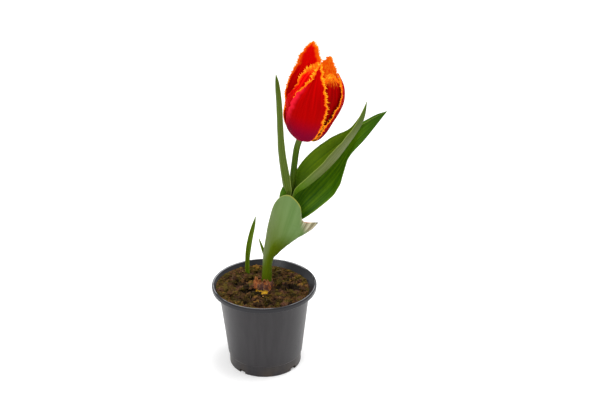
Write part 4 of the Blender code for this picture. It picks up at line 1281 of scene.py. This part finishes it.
def add_fringe(pile, sheet, u, seed, starts):
    """Two rows of teeth along both margins, in uneven clumps, longer towards the tip."""
    draw = random.Random(seed)
    normals = sheet_normals(sheet)
    for (column, inner), start in zip(((0, 2), (-1, -3)), starts):
        margin = sheet[:, column]
        run = np.concatenate([[0.0], np.cumsum(np.linalg.norm(np.diff(margin, axis=0), axis=1))])
        ahead = unit(np.gradient(margin, axis=0))
        outward = unit(margin - sheet[:, inner])
        place = float(np.interp(start, u, run))
        while place < run[-1]:
            row = float(np.interp(place, run, np.arange(len(run))))
            i = min(int(row), len(run) - 2)
            f = row - i
            share = u[i] + (u[i + 1] - u[i]) * f
            clump = 0.5 + 0.9 * noise.noise(Vector((place / 2.6, seed * 3.1, column * 5.0)))
            grow = (0.3 + 0.7 * float(smooth_step((share - start) / 0.25))) * max(0.15, clump + 0.35)
            for side in (-1, 1):
                lean = draw.uniform(*TOOTH_LEANS)
                heading = unit(outward[i] * math.cos(lean) + ahead[i] * math.sin(lean))
                heading = unit(heading + normals[i, column] * side * draw.uniform(0.0, 0.55))
                flat = unit(np.cross(normals[i, column], heading))
                inset = draw.uniform(0.0, 1.0) * (side + 1) / 2
                foot = margin[i] * (1 - f) + margin[i + 1] * f - outward[i] * inset
                low, high = FRINGE_LENGTH
                length = (low + (high - low) * draw.random() ** 1.5) * grow
                wide = draw.uniform(*TOOTH_HALF_WIDTHS)
                up = unit(np.cross(heading, flat))
                add_tooth(pile, foot, heading, flat, up, length, wide, share, draw.uniform(-0.5, 0.5))
            place += FRINGE_SPACING * draw.uniform(0.6, 1.4)


def petal_finish(name, outer, inner, margin_reach, glow, flames, pink):
    """Silky petal: fine streaks, a painted purple sheen low outside, a painted pink highlight, painted
    shade low inside, a painted glow and an orange to yellow fringe.
    """
    finish = Finish(name, Specular_IOR_Level=0.01, Emission_Strength=LIGHT_THROUGH)
    facts = ("along", "across", "edge", "face", "fringed")
    along, across, edge, face, fringed = (finish.fact(fact) for fact in facts)
    streaks = finish.lines(across, 46, along, 1.5)
    broad = finish.lines(across, 7, along, 2.0)
    flame = finish.lines(across, 19, along, 3.5)
    mottle = finish.noise(1.5, 3.0, 0.65)
    outside = finish.mix(streaks.ramp(0.3, 0.7), outer[0], outer[1])
    outside = finish.mix(broad.ramp(0.35, 0.75) * along.ramp(0.2, 0.9), outside, outer[2])
    # painted sheen: darker purple low on the outside, in broad bands
    purple_sheen = along.ramp(0.54, 0.27) * broad.ramp(-0.2, 0.5) * 0.85
    outside = finish.mix(purple_sheen, outside, (0.145, 0.0010, 0.0190))
    licks = (along + flame * 0.44 - 0.22).ramp(0.89, 0.99)
    orange, yellow = (0.92, 0.13, 0.002), (0.95, 0.40, 0.012)
    outside = finish.mix(licks * flames, outside, orange)
    outside = finish.mix(licks * mottle.ramp(0.45, 0.60) * flames, outside, yellow)
    # painted highlight: pink along the left margin of the outside, where it turns to the light
    left_side = edge.ramp(6.5, 1.0) * across.ramp(-0.3, -0.8)
    pink_highlight = left_side * along.ramp(0.32, 0.55) * along.ramp(0.84, 0.70)
    outside = finish.mix(pink_highlight * pink, outside, (0.80, 0.012, 0.034))
    inside = finish.mix(flame.ramp(0.3, 0.7), inner[0], inner[1])
    inside = finish.mix((along + flame * 0.7 - 0.35).ramp(0.62, 0.92) * glow, inside, orange)
    inside = finish.mix(mottle.ramp(0.45, 0.58) * along.ramp(0.6, 0.9) * glow, inside, yellow)
    # painted shade: darker red low on the inside, down in the cup, less where the inside turns orange
    inside = finish.mix(along.ramp(0.80, 0.50) * (1 - glow) * 0.7, inside, (0.24, 0.0, 0.0))
    inside = finish.mix(along.ramp(0.24, 0.08), inside, (0.55, 0.42, 0.03))
    colour = finish.mix(face, outside, inside)
    depth = edge + (flame - 0.5) * (margin_reach * 1.5 + 0.6) + (mottle - 0.5) * 2.0
    band = depth.ramp(margin_reach * 0.9, margin_reach * 0.3) * fringed
    colour = finish.mix(band, colour, (0.90, 0.125, 0.002))
    tip = (edge + mottle * 2.0 - 1.0).ramp(0.3, -1.2) * fringed
    colour = finish.mix(tip * 0.9, colour, (0.96, 0.42, 0.014))
    finish.paint(Base_Color=colour, Roughness=0.5 + streaks * 0.16)
    # painted light: the petals glow in their own colour, most on the inside, in place of light let
    # through from the far side
    finish.paint(Emission_Color=finish.mix(0.3 + face * 0.7, (0.0, 0.0, 0.0), colour))
    finish.relief(streaks + broad * 0.8, 0.09)
    return finish


def make_petals():
    """Six petals in two whorls, each with its own silk and fringe."""
    # bright, dusky, deep and lively outside, and scarlet and shade inside, are lighter and darker copies
    # of one red: painted light and shade for how each petal faces the light
    bright = ((0.31, 0.0, 0.0), (0.35, 0.0, 0.0), (0.47, 0.0003, 0.0002))
    dusky = ((0.17, 0.0, 0.0), (0.27, 0.0, 0.0001), (0.50, 0.0006, 0.0030))
    deep = ((0.19, 0.0, 0.0), (0.27, 0.0, 0.0), (0.36, 0.0002, 0.0002))
    lively = ((0.38, 0.0, 0.0), (0.56, 0.0003, 0.0003), (0.84, 0.0050, 0.0030))
    shade = ((0.28, 0.0, 0.0003), (0.46, 0.0006, 0.0006))
    scarlet = ((0.58, 0.0006, 0.0006), (0.80, 0.0020, 0.0010))
    amber = ((0.74, 0.004, 0.0005), (0.92, 0.105, 0.0020))
    silks = {  # outside, inside, width of the orange margin, orange inside, flames and painted pink highlight outside
        "petal_outer_front": (bright, shade, 1.0, 0.3, 0.0, 0.85),
        "petal_outer_right": (dusky, scarlet, 1.0, 0.3, 0.0, 0.0),
        "petal_outer_back": (bright, scarlet, 4.4, 0.0, 0.0, 0.0),
        "petal_inner_right": (deep, shade, 2.4, 0.5, 0.85, 0.0),
        "petal_inner_left": (lively, shade, 1.9, 0.5, 0.7, 0.0),
        "petal_inner_back": (deep, amber, 2.8, 0.6, 0.9, 0.0),
    }
    for seed, node in enumerate(PETALS):
        sheet, u, v = petal_sheet(node, seed)
        edge = edge_distance(sheet)
        starts = FRINGE_STARTS[node]
        left, right = (smooth_step((u[:, None] - start) / 0.15) for start in starts)
        fringed = left + (right - left) * (v[None, :] + 1) / 2
        pile = Pile("along", "across", "edge", "face", "fringed")
        thickness = thickness_of(edge, *PETAL_THICKNESS, 5.0)
        add_sheet(pile, sheet, thickness, along=u[:, None], across=v[None, :], edge=edge, fringed=fringed)
        add_fringe(pile, sheet, u, FRINGE_SEED + seed, starts)
        silk = petal_finish(node.replace("petal_", "silk_"), *silks[node])
        pile.build(node.replace("petal_", "fringed_petal_"), silk, "petal", node)


def make_heart():
    """Ovary with its three-lobed stigma, and stamens with dark anthers."""
    origin, side, back, axis = bloom_directions()
    foot = RECEPTACLE_HEIGHT + 0.3

    def place(out, turn, height):
        return origin + out * (math.sin(turn) * side - math.cos(turn) * back) + (foot + height) * axis

    green = Finish("ovary_green", Specular_IOR_Level=0.4)
    clouds = green.noise(2.0, 3.0)
    green.paint(Base_Color=green.mix(clouds, (0.30, 0.38, 0.08), (0.50, 0.52, 0.18)), Roughness=0.45)
    green.relief(clouds, 0.15)
    ovary = Pile()
    shares = np.linspace(0, 1, 26)
    radii = curve_at([2.2, OVARY_RADIUS, OVARY_RADIUS, 2.6, 1.8], shares)
    add_tube(ovary, [place(0.0, 0.0, OVARY_HEIGHT * s) for s in shares], radii, 30)
    for i in range(3):
        turn = 2 * math.pi * (i + 0.2) / 3
        tops = [place(out, turn, OVARY_HEIGHT + rise) for out, rise in STIGMA_LOBE]
        lobe = curve_at(tops, np.linspace(0, 1, 9))
        add_tube(ovary, lobe, curve_at([1.3, 1.6, 0.9], np.linspace(0, 1, 9)), 16)
    ovary.build("ovary", green, "flower_heart", "flower_heart")
    dark = Finish("stamen_dust", Roughness=0.7)
    share = dark.fact("along")
    colour = dark.mix(share.ramp(0.42, 0.48), (0.45, 0.36, 0.06), (0.035, 0.012, 0.030))
    dark.paint(Base_Color=dark.mix(dark.noise(0.6, 4.0).ramp(0.5, 0.7) * 0.3, colour, (0.30, 0.16, 0.05)))
    stamens = Pile("along")
    shares = np.linspace(0, 1, 30)
    anther = ANTHER_RADIUS * np.sqrt(np.clip(1 - ((shares - 0.72) / 0.29) ** 2, 0.05, 1))
    radii = np.where(shares > ANTHER_FROM, anther, FILAMENT_RADIUS)
    for i in range(STAMENS):
        turn = 2 * math.pi * (i + 0.5) / STAMENS
        path = curve_at([place(out, turn, height) for out, height in STAMEN_LINE], shares)
        add_tube(stamens, path, radii, 12, along=shares)
    stamens.build("stamens", dark, "flower_heart")


# Stage

def add_panel(name, place, size, power):
    light = bpy.data.lights.new(name, "AREA")
    light.shape = "DISK"
    light.size = size
    light.energy = power
    panel = bpy.data.objects.new(name, light)
    panel.location = place
    panel.rotation_mode = "QUATERNION"
    panel.rotation_quaternion = (Vector(PANEL_TARGET) - panel.location).to_track_quat("-Z", "Y")
    bpy.context.scene.collection.objects.link(panel)


def make_stage():
    finish = Finish("floor_white", Roughness=0.9, Specular_IOR_Level=0.1, Emission_Strength=FLOOR_GLOW)
    white = finish.mix(finish.noise(400.0, 2.0) * 0.1, (0.90, 0.90, 0.90), (0.87, 0.87, 0.87))
    finish.paint(Base_Color=white, Emission_Color=white)
    mesh = bpy.data.meshes.new("floor")
    half = FLOOR_SIZE / 2
    corners = [(-half, -half, 0), (half, -half, 0), (half, half, 0), (-half, half, 0)]
    mesh.from_pydata(corners, [], [(0, 1, 2, 3)])
    mesh.materials.append(finish.material)
    floor = bpy.data.objects.new("floor", mesh)
    bpy.context.scene.collection.objects.link(floor)
    world = bpy.data.worlds.new("studio")
    world.use_nodes = True
    background = world.node_tree.nodes["Background"]
    background.inputs["Color"].default_value = (1.0, 1.0, 1.0, 1.0)
    background.inputs["Strength"].default_value = WORLD_LIGHT
    bpy.context.scene.world = world
    for panel in PANELS:
        add_panel(*panel)
    bpy.context.scene.view_settings.view_transform = "Standard"


def make_camera():
    pitch = math.radians(CAMERA_PITCH)
    camera = bpy.data.objects.new("camera", bpy.data.cameras.new("camera"))
    camera.data.sensor_width = 36.0
    camera.data.lens = LENS_MM
    forward = Vector((0.0, math.cos(pitch), -math.sin(pitch)))
    camera.location = Vector(LOOK_AT) - CAMERA_DISTANCE * forward
    camera.rotation_euler = (math.pi / 2 - pitch, 0.0, 0.0)
    bpy.context.scene.collection.objects.link(camera)
    bpy.context.scene.camera = camera


make_camera()
make_stage()
make_pot()
make_soil()
make_bulb()
skin = papery_skin()
make_skin(skin)
make_flakes(skin)
make_stem()
make_greens()
make_petals()
make_heart()
